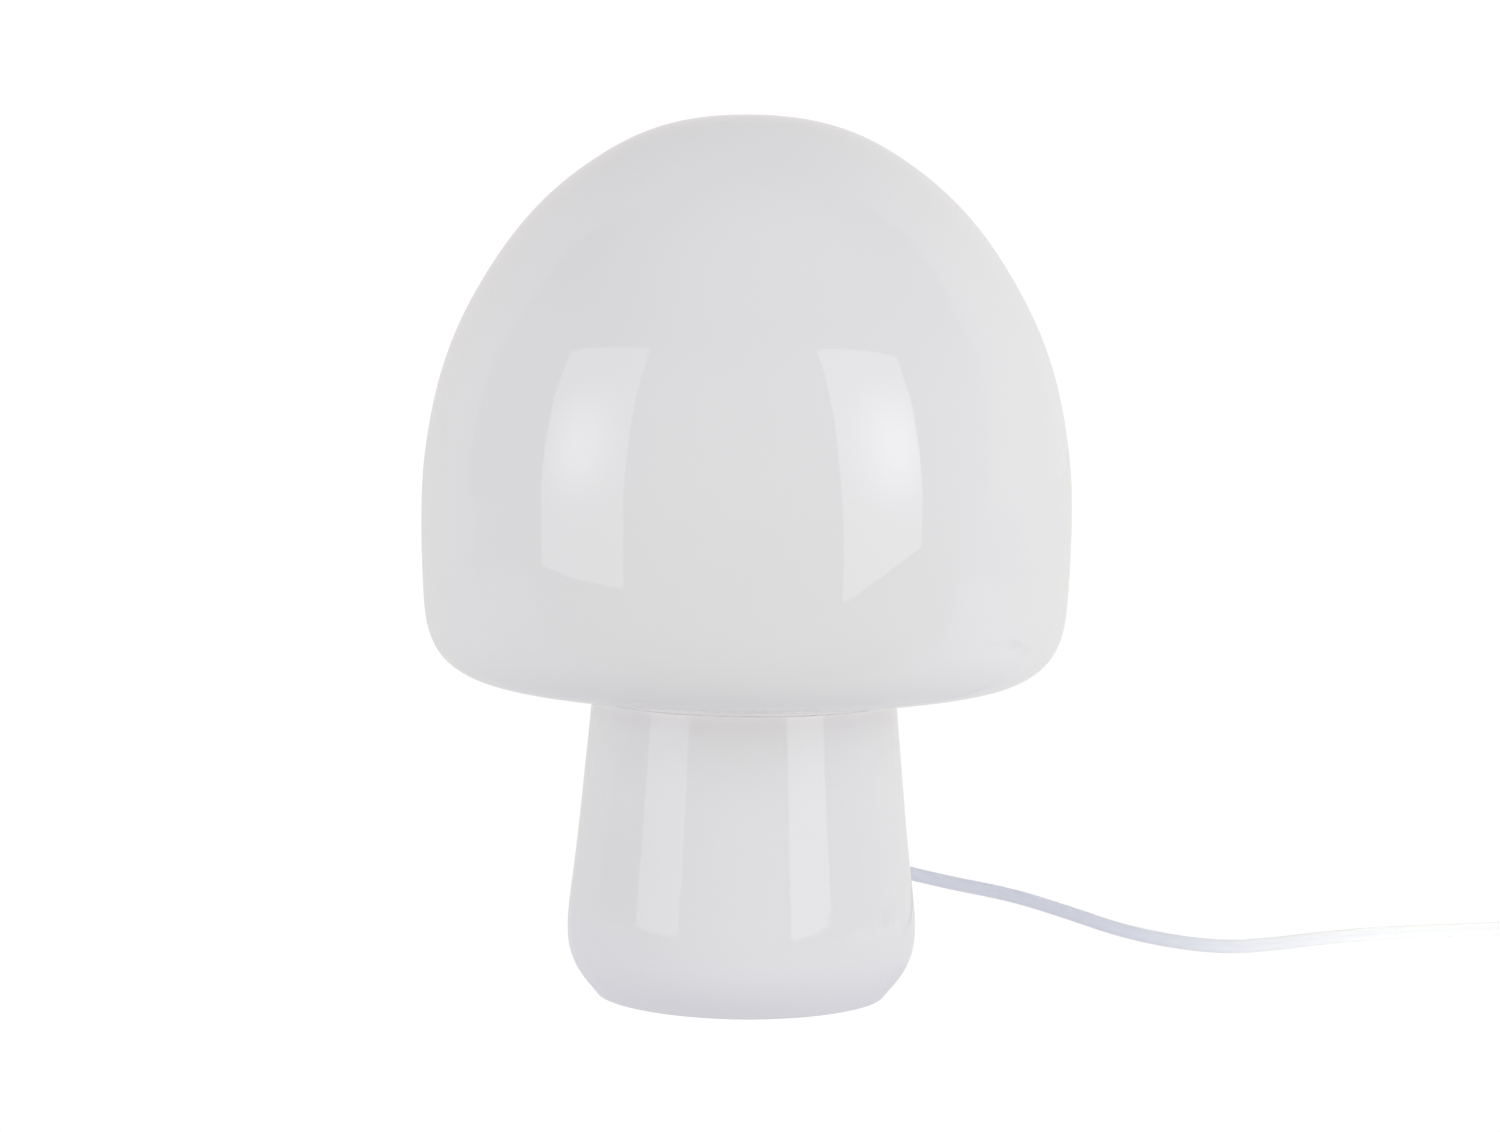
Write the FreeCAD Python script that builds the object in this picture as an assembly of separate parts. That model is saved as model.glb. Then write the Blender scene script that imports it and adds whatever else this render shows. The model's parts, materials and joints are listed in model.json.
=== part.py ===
import FreeCAD, Part
import math
import os

# Mushroom table lamp in mouth-blown opal glass: a domed cap that lifts off a flared
# stem, a lampholder on a steel carrier between them, a screw-in bulb, and a braided
# lead with an inline rocker switch, its spare length wound into a tied coil, and a
# two-pin plug.  Millimetres, +Z up, the lamp's axis is Z and it stands on z = 0.

V = FreeCAD.Vector

# ---------------------------------------------------------------- driving dimensions
CAP_RADIUS = 100.0          # widest radius of the cap
LAMP_HEIGHT = 272.3         # table to the top of the cap
CAP_WALL = 3.0              # blown glass thickness of the cap
CAP_MOUTH_R = 40.0          # opening in the cap's underside
CAP_SEAT_Z = 94.0           # ground seat of the cap on its gasket
STEM_WALL = 3.5             # blown glass thickness of the stem
STEM_RIM_Z = 93.0           # ground top rim of the stem
STEM_FLOOR = 4.5            # glass thickness of the stem's floor
PAD_R, PAD_T = 40.0, 0.8    # felt pad under the ground foot
CORD_D = 4.5                # braided lead
CORD_R = CORD_D / 2.0
EXIT_Z = 27.8               # height of the lead's hole in the back of the stem
HOLE_R = 4.5                # hole in the glass for the cord gland
EXIT_Y = 77.6               # mouth of the gland's tapered sleeve
HOLDER_R = 14.0             # outer radius of the lampholder's threaded skirt
BULB_TIP_Z = 82.6           # underside of the bulb's centre contact at rest
GLOBE_R = 22.5              # bulb globe radius
SWITCH_X, SWITCH_Y = 321.0, 126.0
SWITCH_L, SWITCH_W, SWITCH_H = 62.0, 26.0, 16.0
SWITCH_SPLIT = 6.5          # height of the split between the two shells, and the lead's axis
ROCKER_TILT = 8.0           # rocker's lean each side of level, degrees
BLADE_TILT = 5.0            # contact blade's lean each side of level, degrees
COIL_X, COIL_Y = 390.0, 96.3
COIL_MEAN_R = 25.0
COIL_BOTTOM = 0.6           # the tie's tape lies under the turns
# outer shape of the bundle of turns: three, three, two and one on top, radius and height
COIL_SECTION = [(19.4, 0.6), (30.6, 0.6), (32.1, 2.1), (32.1, 9.0), (30.3, 13.0), (27.7, 17.0), (26.3, 17.8),
                (23.9, 17.8), (22.5, 17.0), (19.9, 13.0), (17.9, 9.0), (17.9, 2.1)]
PLUG_X = 411.0
PIN_PITCH = 18.6            # spacing of the plug's two pins
PIN_R = 2.0
SLEEVE_R = 1.84             # the sleeved stretch is slimmer than the bare tip

OUT = "parts"
os.makedirs(OUT, exist_ok=True)


# ---------------------------------------------------------------- helpers
def save(name, shape):
    if shape.isNull():
        raise RuntimeError(name + " is empty")
    solids = shape.Solids
    if not solids:
        raise RuntimeError(name + " has no solid")
    out = solids[0] if len(solids) == 1 else Part.makeCompound(solids)
    bad = [i for i, s in enumerate(solids) if not s.isValid()]
    out.exportStep(os.path.join(OUT, name + ".step"))
    b = out.BoundBox
    print("%-22s solids %d  vol %9.1f  z %7.2f..%7.2f%s" % (
        name, len(solids), out.Volume, b.ZMin, b.ZMax, "  INVALID" if bad else ""))
    return out


def line(a, b):
    return Part.LineSegment(V(*a), V(*b)).toShape()


def rz(r, z):
    return (r, 0.0, z)


def polyline(points):
    return [line(a, b) for a, b in zip(points, points[1:])]


def revolve(edges, angle=360.0, centre=(0, 0, 0), axis=(0, 0, 1)):
    face = Part.Face(Part.Wire(edges))
    s = face.revolve(V(*centre), V(*axis), angle)
    if s.ShapeType != "Solid":
        s = Part.Solid(s) if s.ShapeType == "Shell" else s.Solids[0]
    if s.Volume < 0:
        s.reverse()
    return s


def lathe(points, angle=360.0):
    """Solid of revolution about Z of a closed polygon of (r, z) points."""
    p = [rz(*q) for q in points]
    p.append(p[0])
    return revolve(polyline(p), angle)


def ring(r0, r1, z0, z1):
    s = Part.makeCylinder(r1, z1 - z0, V(0, 0, z0))
    if r0 > 0:
        s = s.cut(Part.makeCylinder(r0, z1 - z0 + 2, V(0, 0, z0 - 1)))
    return s


def rounded_box(lx, ly, lz, centre, z0, r_corner, r_top=0.0, r_bottom=0.0):
    """Box with rounded upright corners and softened top and bottom edges."""
    b = Part.makeBox(lx, ly, lz, V(centre[0] - lx / 2.0, centre[1] - ly / 2.0, z0))
    up = [e for e in b.Edges if abs(e.BoundBox.ZLength - lz) < 1e-6]
    if r_corner > 0:
        b = b.makeFillet(r_corner, up)
    for r, zz in ((r_top, z0 + lz), (r_bottom, z0)):
        if r > 0:
            es = [e for e in b.Edges
                  if abs(e.BoundBox.ZMin - zz) < 1e-6 and abs(e.BoundBox.ZMax - zz) < 1e-6]
            b = b.makeFillet(r, es)
    return b


def spline_through(points, t0=None, t1=None):
    c = Part.BSplineCurve()
    kw = {}
    if t0 is not None:
        kw = {"InitialTangent": V(*t0), "FinalTangent": V(*t1)}
    c.interpolate([V(*p) for p in points], **kw)
    return c


def offset_points(curve, dist, n, side):
    """Points at a distance from a plane curve in XZ, on the side given."""
    out = []
    u0, u1 = curve.FirstParameter, curve.LastParameter
    for i in range(n + 1):
        u = u0 + (u1 - u0) * i / n
        p = curve.value(u)
        t = curve.tangent(u)
        t = t[0] if isinstance(t, (tuple, list)) else t
        nrm = V(-t.z, 0, t.x) * side
        nrm.normalize()
        out.append(p + nrm * dist)
    return out


def route_wire(points):
    """Straight runs joined by tangent arcs, each as large as its two runs allow."""
    P = [V(*p) for p in points]
    edges, radii = [], []
    at = P[0]
    for i in range(1, len(P) - 1):
        a, b = P[i] - P[i - 1], P[i + 1] - P[i]
        la, lb = a.Length, b.Length
        a.normalize()
        b.normalize()
        turn = a.getAngle(b)
        short = min(la, lb)
        cut = 0.45 * short
        r = cut / math.tan(turn / 2.0)
        radii.append(r)
        s, e = P[i] - a * cut, P[i] + b * cut
        bis = (b - a)
        bis.normalize()
        centre = P[i] + bis * (r / math.cos(turn / 2.0))
        mid = centre - bis * r
        edges.append(Part.LineSegment(at, s).toShape())
        edges.append(Part.Arc(s, mid, e).toShape())
        at = e
    edges.append(Part.LineSegment(at, P[-1]).toShape())
    return Part.Wire(edges), radii


def tube(name, points, radius):
    wire, radii = route_wire(points)
    first = V(*points[1]) - V(*points[0])
    prof = Part.Wire([Part.makeCircle(radius, V(*points[0]), first)])
    s = wire.makePipeShell([prof], True, False)
    if s.Volume < 0:
        s.reverse()
    want = math.pi * radius * radius * wire.Length
    print("%s: length %.1f  volume %.1f against %.1f  radii %s" % (
        name, wire.Length, s.Volume, want, " ".join("%.1f" % r for r in radii)))
    return s, wire.Length


# ================================================================= GLASS CAP
# Outer profile of the cap, radius and height, from the crown down to the seat.
CAP_PROFILE = [
    (0.0, 272.3), (5.65, 272.2), (16.9, 271.1), (27.9, 268.5), (38.3, 264.15), (47.9, 258.4),
    (56.75, 251.8), (64.7, 244.4), (71.7, 236.3), (77.8, 227.7), (83.15, 218.9), (87.8, 210.0),
    (91.6, 200.9), (94.6, 191.6), (96.8, 182.25), (98.4, 172.9), (99.5, 163.6), (99.94, 154.3),
    (99.98, 145.0), (99.75, 135.6), (99.3, 126.05), (98.2, 116.3), (94.5, 107.4), (86.45, 100.9),
    (75.0, 97.7), (63.8, 96.0), (53.9, 94.85), (46.9, CAP_SEAT_Z)]

cap_curve = spline_through([rz(*p) for p in CAP_PROFILE], (1, 0, 0), (-1, 0, -0.10))
cap_in = offset_points(cap_curve, CAP_WALL, 46, -1)
# keep the inside from the axis to the mouth, then close on the ground seat
inner = [V(0, 0, LAMP_HEIGHT - CAP_WALL)]
for p in cap_in[1:]:
    if p.x > CAP_MOUTH_R + 4.0 or p.z > 150.0:
        inner.append(p)
inner.append(V(CAP_MOUTH_R, 0, CAP_SEAT_Z + CAP_WALL))
in_curve = Part.BSplineCurve()
in_curve.interpolate(inner, InitialTangent=V(1, 0, 0), FinalTangent=V(-1, 0, -0.05))
cap_edges = [
    cap_curve.toShape(),
    line(rz(46.9, CAP_SEAT_Z), rz(CAP_MOUTH_R, CAP_SEAT_Z)),
    line(rz(CAP_MOUTH_R, CAP_SEAT_Z), rz(CAP_MOUTH_R, CAP_SEAT_Z + CAP_WALL)),
    in_curve.toShape(),
    line(rz(0, LAMP_HEIGHT - CAP_WALL), rz(0, LAMP_HEIGHT)),
]
cap_glass = revolve(cap_edges)
save("cap_glass", cap_glass)

# ================================================================= GLASS STEM
STEM_PROFILE = [
    (44.6, 0.8), (46.24, 2.8), (48.71, 5.8), (51.37, 9.8), (53.30, 14.8), (54.02, 20.8),
    (53.95, 25.0), (53.48, 30.0), (52.2, 40.8), (50.57, 55.8), (49.15, 70.8), (47.74, 85.8),
    (47.12, STEM_RIM_Z)]
stem_curve = spline_through([rz(*p) for p in STEM_PROFILE], (0.62, 0, 0.78), (-0.083, 0, 1))
stem_in = offset_points(stem_curve, STEM_WALL, 40, 1)
# inner wall from the rim down, turning into the floor
stem_inner = [p for p in stem_in if p.z > 12.0]
stem_inner[-1] = V(stem_inner[-1].x, 0, STEM_RIM_Z)
floor_z = PAD_T + STEM_FLOOR
stem_inner = ([V(0, 0, floor_z), V(26, 0, floor_z + 0.15), V(40, 0, floor_z + 1.6), V(46.2, 0, floor_z + 4.6)]
              + stem_inner)
st_in = Part.BSplineCurve()
st_in.interpolate(stem_inner, InitialTangent=V(1, 0, 0), FinalTangent=V(-0.083, 0, 1))
stem_body = revolve([
    line(rz(0, PAD_T), rz(44.6, PAD_T)),
    stem_curve.toShape(),
    line(rz(47.12, STEM_RIM_Z), (stem_inner[-1].x, 0, STEM_RIM_Z)),
    st_in.toShape(),
    line(rz(0, floor_z), rz(0, PAD_T)),
])
stem_hole = Part.makeCylinder(HOLE_R, 40, V(0, 30, EXIT_Z), V(0, 1, 0))
stem_glass = stem_body.cut(stem_hole)
save("stem_glass", stem_glass)
stem_inner_r_top = stem_inner[-1].x
print("stem inner radius at the rim %.2f" % stem_inner_r_top)

# felt pad glued in under the ground foot
save("foot_pad", lathe([(0, 0), (PAD_R - 0.2, 0), (PAD_R, 0.2), (PAD_R, PAD_T), (0, PAD_T)]))

# ================================================================= SEAT BETWEEN THEM
# silicone ring on the stem's rim: a thin step carries the steel, a thicker one the cap
save("rim_gasket", lathe([(43.8, 93.0), (46.9, 93.0), (46.9, 94.0), (45.0, 94.0), (45.0, 93.3), (43.8, 93.3)]))

# pressed steel carrier: flange on the gasket, drum that centres the cap, disc with windows
T = 0.6
carrier = lathe([
    (38.9, 93.3), (44.8, 93.3), (44.8, 93.3 + T), (39.5, 93.3 + T), (39.5, 97.3), (38.9, 97.9),
    (14.15, 97.9), (14.15, 97.3), (38.6, 97.3), (38.9, 97.0)])
for k in range(3):
    # kidney windows that let light down into the stem
    a0 = 120.0 * k + 22.0
    w = Part.Face(Part.Wire(polyline([rz(24, 96), rz(34, 96), rz(34, 99), rz(24, 99), rz(24, 96)])))
    w = w.revolve(V(0, 0, 0), V(0, 0, 1), 76.0)
    w.rotate(V(0, 0, 0), V(0, 0, 1), a0)
    w = w.Solids[0] if w.Solids else Part.Solid(w)
    carrier = carrier.cut(w)
    for aa in (a0, a0 + 76.0):
        carrier = carrier.cut(Part.makeCylinder(
            5.0, 3, V(29 * math.cos(math.radians(aa)), 29 * math.sin(math.radians(aa)), 96)))
    ra = math.radians(120.0 * k)
    carrier = carrier.cut(Part.makeCylinder(0.9, 3, V(41.3 * math.cos(ra), 41.3 * math.sin(ra), 92)))
save("carrier_plate", carrier)

# three spring fingers under the flange that grip the inside of the stem's neck
springs, rivets = [], []
for k in range(3):
    prof = [rz(40.0, 93.3), rz(43.2, 93.3), rz(43.35, 92.9), rz(43.30, 88.5), rz(44.05, 82.0), rz(42.5, 73.5),
            rz(42.0, 73.6), rz(43.52, 82.0), rz(42.78, 88.5), rz(42.7, 92.8), rz(40.0, 92.8), rz(40.0, 93.3)]
    f = Part.Face(Part.Wire(polyline(prof)))
    f.translate(V(0, -4, 0))
    s = f.extrude(V(0, 8, 0))
    s = s.cut(Part.makeCylinder(0.9, 6, V(41.3, 0, 90)))
    rv = Part.makeCylinder(0.9, 2.3, V(41.3, 0, 92.2)).fuse(
        Part.makeCylinder(1.2, 0.6, V(41.3, 0, 92.2))).removeSplitter()
    # rivet head below, flush-set tail inside the flange
    rv = rv.common(Part.makeCylinder(3, 1.7, V(41.3, 0, 92.2)))
    for lst, sh in ((springs, s), (rivets, rv)):
        sh.rotate(V(0, 0, 0), V(0, 0, 1), 120.0 * k)
        lst.append(sh)
save("retaining_springs", Part.makeCompound(springs))
save("spring_rivets", Part.makeCompound(rivets))

# ================================================================= LAMPHOLDER
def knurled_ring(z0, z1, r_out, grips=20):
    s = lathe([(HOLDER_R + 0.05, z0), (r_out - 0.5, z0), (r_out, z0 + 0.5), (r_out, z1 - 0.5), (r_out - 0.5, z1),
               (HOLDER_R + 0.05, z1)])
    for i in range(grips):
        a = 2 * math.pi * i / grips
        s = s.cut(Part.makeCylinder(0.9, z1 - z0 + 2, V((r_out + 0.35) * math.cos(a), (r_out + 0.35) * math.sin(a), z0 - 1)))
    return s


save("holder_ring_upper", knurled_ring(97.9, 102.9, 19.5))
save("holder_ring_lower", knurled_ring(91.8, 97.3, 19.5))

# skirt: round-profile thread outside, open at the top for the bulb
skirt = [(12.4, 66.0), (13.6, 66.0)]
z = 67.0
while z < 104.5:
    skirt += [(14.0, z), (14.0, z + 0.9), (13.45, z + 1.3), (13.45, z + 1.7)]
    z += 2.1
skirt += [(13.6, z), (13.6, 106.0), (12.4, 106.0)]
save("holder_shell", lathe(skirt))

# lower cap of the lampholder with the lead's entry
holder_cap = lathe([
    (2.5, 48.0), (6.0, 48.0), (6.4, 48.4), (6.4, 54.0), (9.6, 55.2), (12.6, 58.5), (13.6, 62.5), (13.6, 66.0),
    (12.35, 66.0), (12.35, 69.5), (10.9, 69.5), (10.9, 63.4), (10.2, 60.0), (8.2, 57.6), (5.0, 56.4), (2.5, 56.4)])
holder_cap = holder_cap.cut(Part.makeCylinder(1.55, 8, V(2.0, 0, 51.2), V(1, 0, 0)))
save("holder_cap", holder_cap)
# grub screw that grips the lead in the entry
grub = Part.makeCylinder(1.5, 4.4, V(2.3, 0, 51.2), V(1, 0, 0))
grub = grub.cut(Part.makeBox(0.8, 3.4, 0.7, V(6.1, -1.7, 50.85)))
save("cord_grip_screw", grub)

# ceramic core with two terminal pockets below
core = lathe([(0, 74.0), (11.9, 74.0), (12.2, 74.3), (12.2, 101.0), (11.2, 102.0), (8.3, 102.0), (8.3, 80.2), (0, 80.2)])
for sx in (-1, 1):
    core = core.cut(Part.makeBox(5.0, 6.2, 5.2, V(6.6 * sx - 2.5, -3.1, 73.0)))
    core = core.cut(Part.makeCylinder(1.0, 4, V(6.6 * sx, 0, 77.5)))
core = core.cut(Part.makeCylinder(0.9, 8, V(0, 0, 73.5)))
save("holder_core", core)

# brass screw shell: rounded rings stand for the thread
def thread_profile(r_crest, r_root, z0, z1, pitch, wall):
    outer, inner_ = [], []
    n = int((z1 - z0) / pitch)
    steps = 8
    for i in range(n * steps + 1):
        zz = z0 + pitch * i / steps
        r = (r_crest + r_root) / 2.0 - (r_crest - r_root) / 2.0 * math.cos(2 * math.pi * i / steps)
        outer.append((r, zz))
        inner_.append((r - wall, zz))
    return outer, inner_


o, i_ = thread_profile(8.1, 7.6, 83.4, 83.4 + 2.82 * 6, 2.82, 0.4)
shell_pts = [(7.2, 82.4), (7.6, 82.4)] + o + [(8.2, o[-1][1] + 0.6), (7.75, o[-1][1] + 0.6)] + i_[::-1]
save("holder_screw_shell", lathe(shell_pts))

# centre contact: sprung brass strip over the floor of the core
strip = [(-6.5, 80.2), (3.5, 80.2), (5.0, 80.9), (2.2, 82.1), (0.0, 82.55), (-2.6, 82.3), (-2.6, 81.85), (-0.1, 82.1),
         (2.0, 81.7), (3.6, 80.95), (3.2, 80.65), (-6.5, 80.65)]
cc = Part.Face(Part.Wire(polyline([(x, 0.0, zz) for x, zz in strip] + [(strip[0][0], 0.0, strip[0][1])])))
cc.translate(V(0, -2, 0))
save("holder_centre_contact", cc.extrude(V(0, 4, 0)))

# terminal blocks and their screws in the pockets of the core
blocks, tscrews = [], []
for sx in (-1, 1):
    b = Part.makeBox(4.6, 5.8, 4.6, V(6.6 * sx - 2.3, -2.9, 73.3))
    b = b.cut(Part.makeCylinder(1.3, 8, V(6.6 * sx, -0.9, 72.0)))
    b = b.cut(Part.makeCylinder(0.8, 5, V(6.6 * sx, 1.9, 72.5)))
    blocks.append(b)
    sc = Part.makeCylinder(1.25, 4.6, V(6.6 * sx, -0.9, 73.2)).fuse(Part.makeCylinder(1.9, 1.3, V(6.6 * sx, -0.9, 71.9)))
    sc = sc.removeSplitter().cut(Part.makeBox(5, 0.5, 0.6, V(6.6 * sx - 2.5, -1.15, 71.8)))
    tscrews.append(sc)
save("holder_terminals", Part.makeCompound(blocks))
save("terminal_screws", Part.makeCompound(tscrews))

# ================================================================= BULB
tip = lathe([(0, BULB_TIP_Z), (1.6, BULB_TIP_Z + 0.1), (2.6, BULB_TIP_Z + 0.6), (2.8, BULB_TIP_Z + 1.1), (0, BULB_TIP_Z + 1.1)])
save("bulb_contact_tip", tip)
save("bulb_insulator", lathe([(0, 83.7), (2.8, 83.7), (4.4, 84.4), (5.9, 86.0), (6.0, 87.0), (0, 87.0)]))
o2, i2 = thread_profile(6.9, 6.35, 87.2, 87.2 + 2.82 * 5, 2.82, 0.45)
save("bulb_screw_cap", lathe(o2 + [(6.9, 102.2), (6.9, 104.2), (6.45, 104.2), (6.45, 102.2)] + i2[::-1]))
housing = lathe([(0, 98.0), (5.3, 98.0), (5.3, 104.25), (7.2, 104.25), (8.6, 106.2), (11.0, 110.5), (14.6, 117.0), (16.9, 121.5),
                 (17.2, 123.0), (15.6, 123.0), (15.0, 121.6), (0, 121.6)])
save("bulb_housing", housing)
save("bulb_led_board", lathe([(0, 121.6), (13.5, 121.6), (13.5, 123.2), (10.0, 123.2), (10.0, 124.0), (0, 124.0)]))
# opal globe: a thin shell from the housing's rim over the top
gz = 138.1


def globe_arc(r, z_low):
    a = math.asin((z_low - gz) / r)
    s = V(r * math.cos(a), 0, z_low)
    m = V(r * math.cos((a + math.pi / 2) / 2), 0, gz + r * math.sin((a + math.pi / 2) / 2))
    return Part.Arc(s, m, V(0, 0, gz + r)), s


ga, gs = globe_arc(GLOBE_R, 123.4)
gi, gis = globe_arc(GLOBE_R - 1.0, 123.4)
globe = revolve([ga.toShape(), line(rz(0, gz + GLOBE_R), rz(0, gz + GLOBE_R - 1.0)), gi.toShape(),
                 line((gis.x, 0, 123.4), (gs.x, 0, 123.4))])
collar = lathe([(15.9, 123.0), (17.05, 123.0), (17.1, 123.9), (15.6, 123.9)])
globe = globe.fuse(collar).removeSplitter()
save("bulb_globe", globe)

# ================================================================= LEAD'S GLAND IN THE STEM
def y_lathe(points):
    """Solid of revolution about the line x = 0, z = EXIT_Z of (r, y) points."""
    p = [(r, y, EXIT_Z) for r, y in points]
    p.append(p[0])
    return revolve(polyline(p), 360.0, (0, 0, EXIT_Z), (0, 1, 0))


stem_env = Part.makeCompound([stem_body]).Solids[0]
outer_washer = y_lathe([(4.45, 51.0), (7.6, 51.0), (7.6, 54.9), (4.45, 54.9)]).cut(stem_env)
outer_washer = [s for s in outer_washer.Solids if s.BoundBox.YMax > 54.5][0]
save("gland_washer_outer", outer_washer)
inner_washer = y_lathe([(4.45, 48.2), (7.6, 48.2), (7.6, 51.5), (4.45, 51.5)]).cut(stem_env)
inner_washer = [s for s in inner_washer.Solids if s.BoundBox.YMin < 48.4][0]
save("gland_washer_inner", inner_washer)
# gland: threaded shank through the glass, flange, and a tapered sleeve round the lead
sleeve = [(2.3, 42.0), (4.2, 42.0), (4.4, 42.3), (4.4, 54.9), (7.4, 54.9), (7.6, 55.2), (7.6, 56.6), (7.2, 57.0), (4.6, 57.2)]
y = 58.2
r = 4.55
while y < 74.5:
    sleeve += [(r, y), (r - 0.35, y + 0.25), (r - 0.35, y + 1.15), (r - 0.06, y + 1.4)]
    y += 2.3
    r -= 0.17
sleeve += [(r, y), (3.15, EXIT_Y - 0.3), (2.9, EXIT_Y), (2.3, EXIT_Y)]
save("cord_gland", y_lathe(sleeve))
# hexagon nut inside
nut = []
for k in range(6):
    a = math.radians(60 * k + 30)
    nut.append((7.4 * math.cos(a), 44.0, EXIT_Z + 7.4 * math.sin(a)))
nut.append(nut[0])
nut_s = Part.Face(Part.Wire(polyline(nut))).extrude(V(0, 4.2, 0))
nut_s = nut_s.cut(Part.makeCylinder(4.45, 10, V(0, 42, EXIT_Z), V(0, 1, 0)))
save("gland_nut", nut_s)

# ================================================================= LEAD
# inside the stem: from the lampholder's entry down and out through the gland
inner_route = [(0, 0, 56.3), (0, 0, 45.6), (0, 3.6, 35.4), (0, 12.8, 29.6), (0, 24.0, 27.8 + 0.2), (0, 40.0, EXIT_Z),
               (0, 59.0, EXIT_Z + 0.02), (0, EXIT_Y, EXIT_Z)]
inner_tube, _ = tube("cord_inner", inner_route, CORD_R - 0.02)
save("cord_inner", inner_tube)

# the two insulated cores that reach the terminals
cores = []
for sx in (-1, 1):
    pts = [(1.05 * sx, 0, 56.5), (1.2 * sx, 0.0, 59.6), (3.2 * sx, 1.0, 63.2), (5.6 * sx, 1.85, 67.2), (6.6 * sx, 1.9, 70.6), (6.6 * sx, 1.92, 73.2)]
    s, _ = tube("core", pts, 0.78)
    cores.append(s)
save("holder_wires", Part.makeCompound(cores))

# from the gland, down to the table and along it to the switch
LEAD_ROUTE = [
    (0.0, EXIT_Y, EXIT_Z), (0.0, 93.0, 27.8), (8.0, 105.9, 27.3), (19.6, 112.8, 26.4), (34.1, 113.8, 24.7),
    (50.8, 110.4, 22.0), (69.0, 104.5, 18.7), (90.0, 97.6, 16.0), (108.5, 90.4, 11.5), (126.0, 83.8, 6.6),
    (146.0, 79.2, 3.5), (163.3, 80.0, 2.27), (179.3, 89.1, 2.27), (198.3, 102.1, 2.27), (222.3, 113.1, 2.26),
    (249.3, 119.8, 2.27), (268.0, 124.8, 2.8), (280.0, 126.0, 5.9), (288.0, 126.02, 6.5), (299.0, SWITCH_Y, SWITCH_SPLIT)]
lead, lead_len = tube("cord_lead", LEAD_ROUTE, CORD_R)
save("cord_lead", lead)

# from the switch to the coil
TOP = COIL_Y + 29.7
REAR_ROUTE = [(343.0, SWITCH_Y, SWITCH_SPLIT), (354.0, SWITCH_Y, SWITCH_SPLIT), (361.0, SWITCH_Y, 4.9), (370.0, SWITCH_Y + 0.05, 3.0), (382.0, TOP, 2.87)]
rear, rear_len = tube("cord_rear", REAR_ROUTE, CORD_R)
save("cord_rear", rear)

# neat coil of the spare length, one outer shape
coil = lathe(COIL_SECTION)
coil.translate(V(COIL_X, COIL_Y, 0))
save("cord_coil", coil)

# strap round the bundle on the side away from the plug
def grown(points, by):
    """A convex closed section pushed outwards by a distance."""
    out = []
    n = len(points)
    for i in range(n):
        (x0, z0), (x1, z1), (x2, z2) = points[i - 1], points[i], points[(i + 1) % n]
        a, b = (x1 - x0, z1 - z0), (x2 - x1, z2 - z1)
        la, lb = math.hypot(*a), math.hypot(*b)
        na, nb = (a[1] / la, -a[0] / la), (b[1] / lb, -b[0] / lb)
        m = (na[0] + nb[0], na[1] + nb[1])
        k = by / (1.0 + na[0] * nb[0] + na[1] * nb[1])
        out.append((x1 + m[0] * k, z1 + m[1] * k))
    return out


def strap_sweep(pts, half_deg):
    f = Part.Face(Part.Wire(polyline([rz(*q) for q in pts] + [rz(*pts[0])])))
    s = f.revolve(V(0, 0, 0), V(0, 0, 1), 2 * half_deg)
    s = s.Solids[0] if s.Solids else Part.Solid(s)
    s.rotate(V(0, 0, 0), V(0, 0, 1), 180.0 - half_deg)
    return s


strap = strap_sweep(grown(COIL_SECTION, 0.57), 12.0).cut(strap_sweep(grown(COIL_SECTION, 0.03), 13.0))
strap.translate(V(COIL_X, COIL_Y, 0))
save("coil_tie", strap)

# from the coil's top turn down to the plug
TAIL_ROUTE = [(COIL_X + 25.1, COIL_Y - 5.0, 15.6), (COIL_X + 24.9, COIL_Y - 15.0, 15.7), (COIL_X + 23.8, COIL_Y - 26.0, 13.4),
              (COIL_X + 22.0, COIL_Y - 37.5, 9.7), (PLUG_X, COIL_Y - 48.8, 6.85), (PLUG_X, COIL_Y - 58.3, 6.85)]
tail, tail_len = tube("cord_tail", TAIL_ROUTE, CORD_R)
save("cord_tail", tail)

# ================================================================= INLINE SWITCH
SX, SY = SWITCH_X, SWITCH_Y
X0, X1 = SX - SWITCH_L / 2, SX + SWITCH_L / 2
WALL = 1.8


def channel(r, x0, x1):
    return Part.makeCylinder(r, x1 - x0, V(x0, SY, SWITCH_SPLIT), V(1, 0, 0))


outer = rounded_box(SWITCH_L, SWITCH_W, SWITCH_H, (SX, SY), 0.0, 9.0, 2.2, 0.8)
cavity = rounded_box(SWITCH_L - 2 * WALL - 7.0, SWITCH_W - 2 * WALL, SWITCH_H - 2 * WALL, (SX, SY), WALL, 6.0)
lower_half = Part.makeBox(SWITCH_L + 10, SWITCH_W + 10, SWITCH_SPLIT, V(X0 - 5, SY - SWITCH_W / 2 - 5, 0))
upper_half = Part.makeBox(SWITCH_L + 10, SWITCH_W + 10, SWITCH_H, V(X0 - 5, SY - SWITCH_W / 2 - 5, SWITCH_SPLIT))
SCREWS = [(SX - 21.0, SY + 8.6), (SX + 21.0, SY - 8.6)]

base = outer.cut(cavity).common(lower_half)
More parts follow.
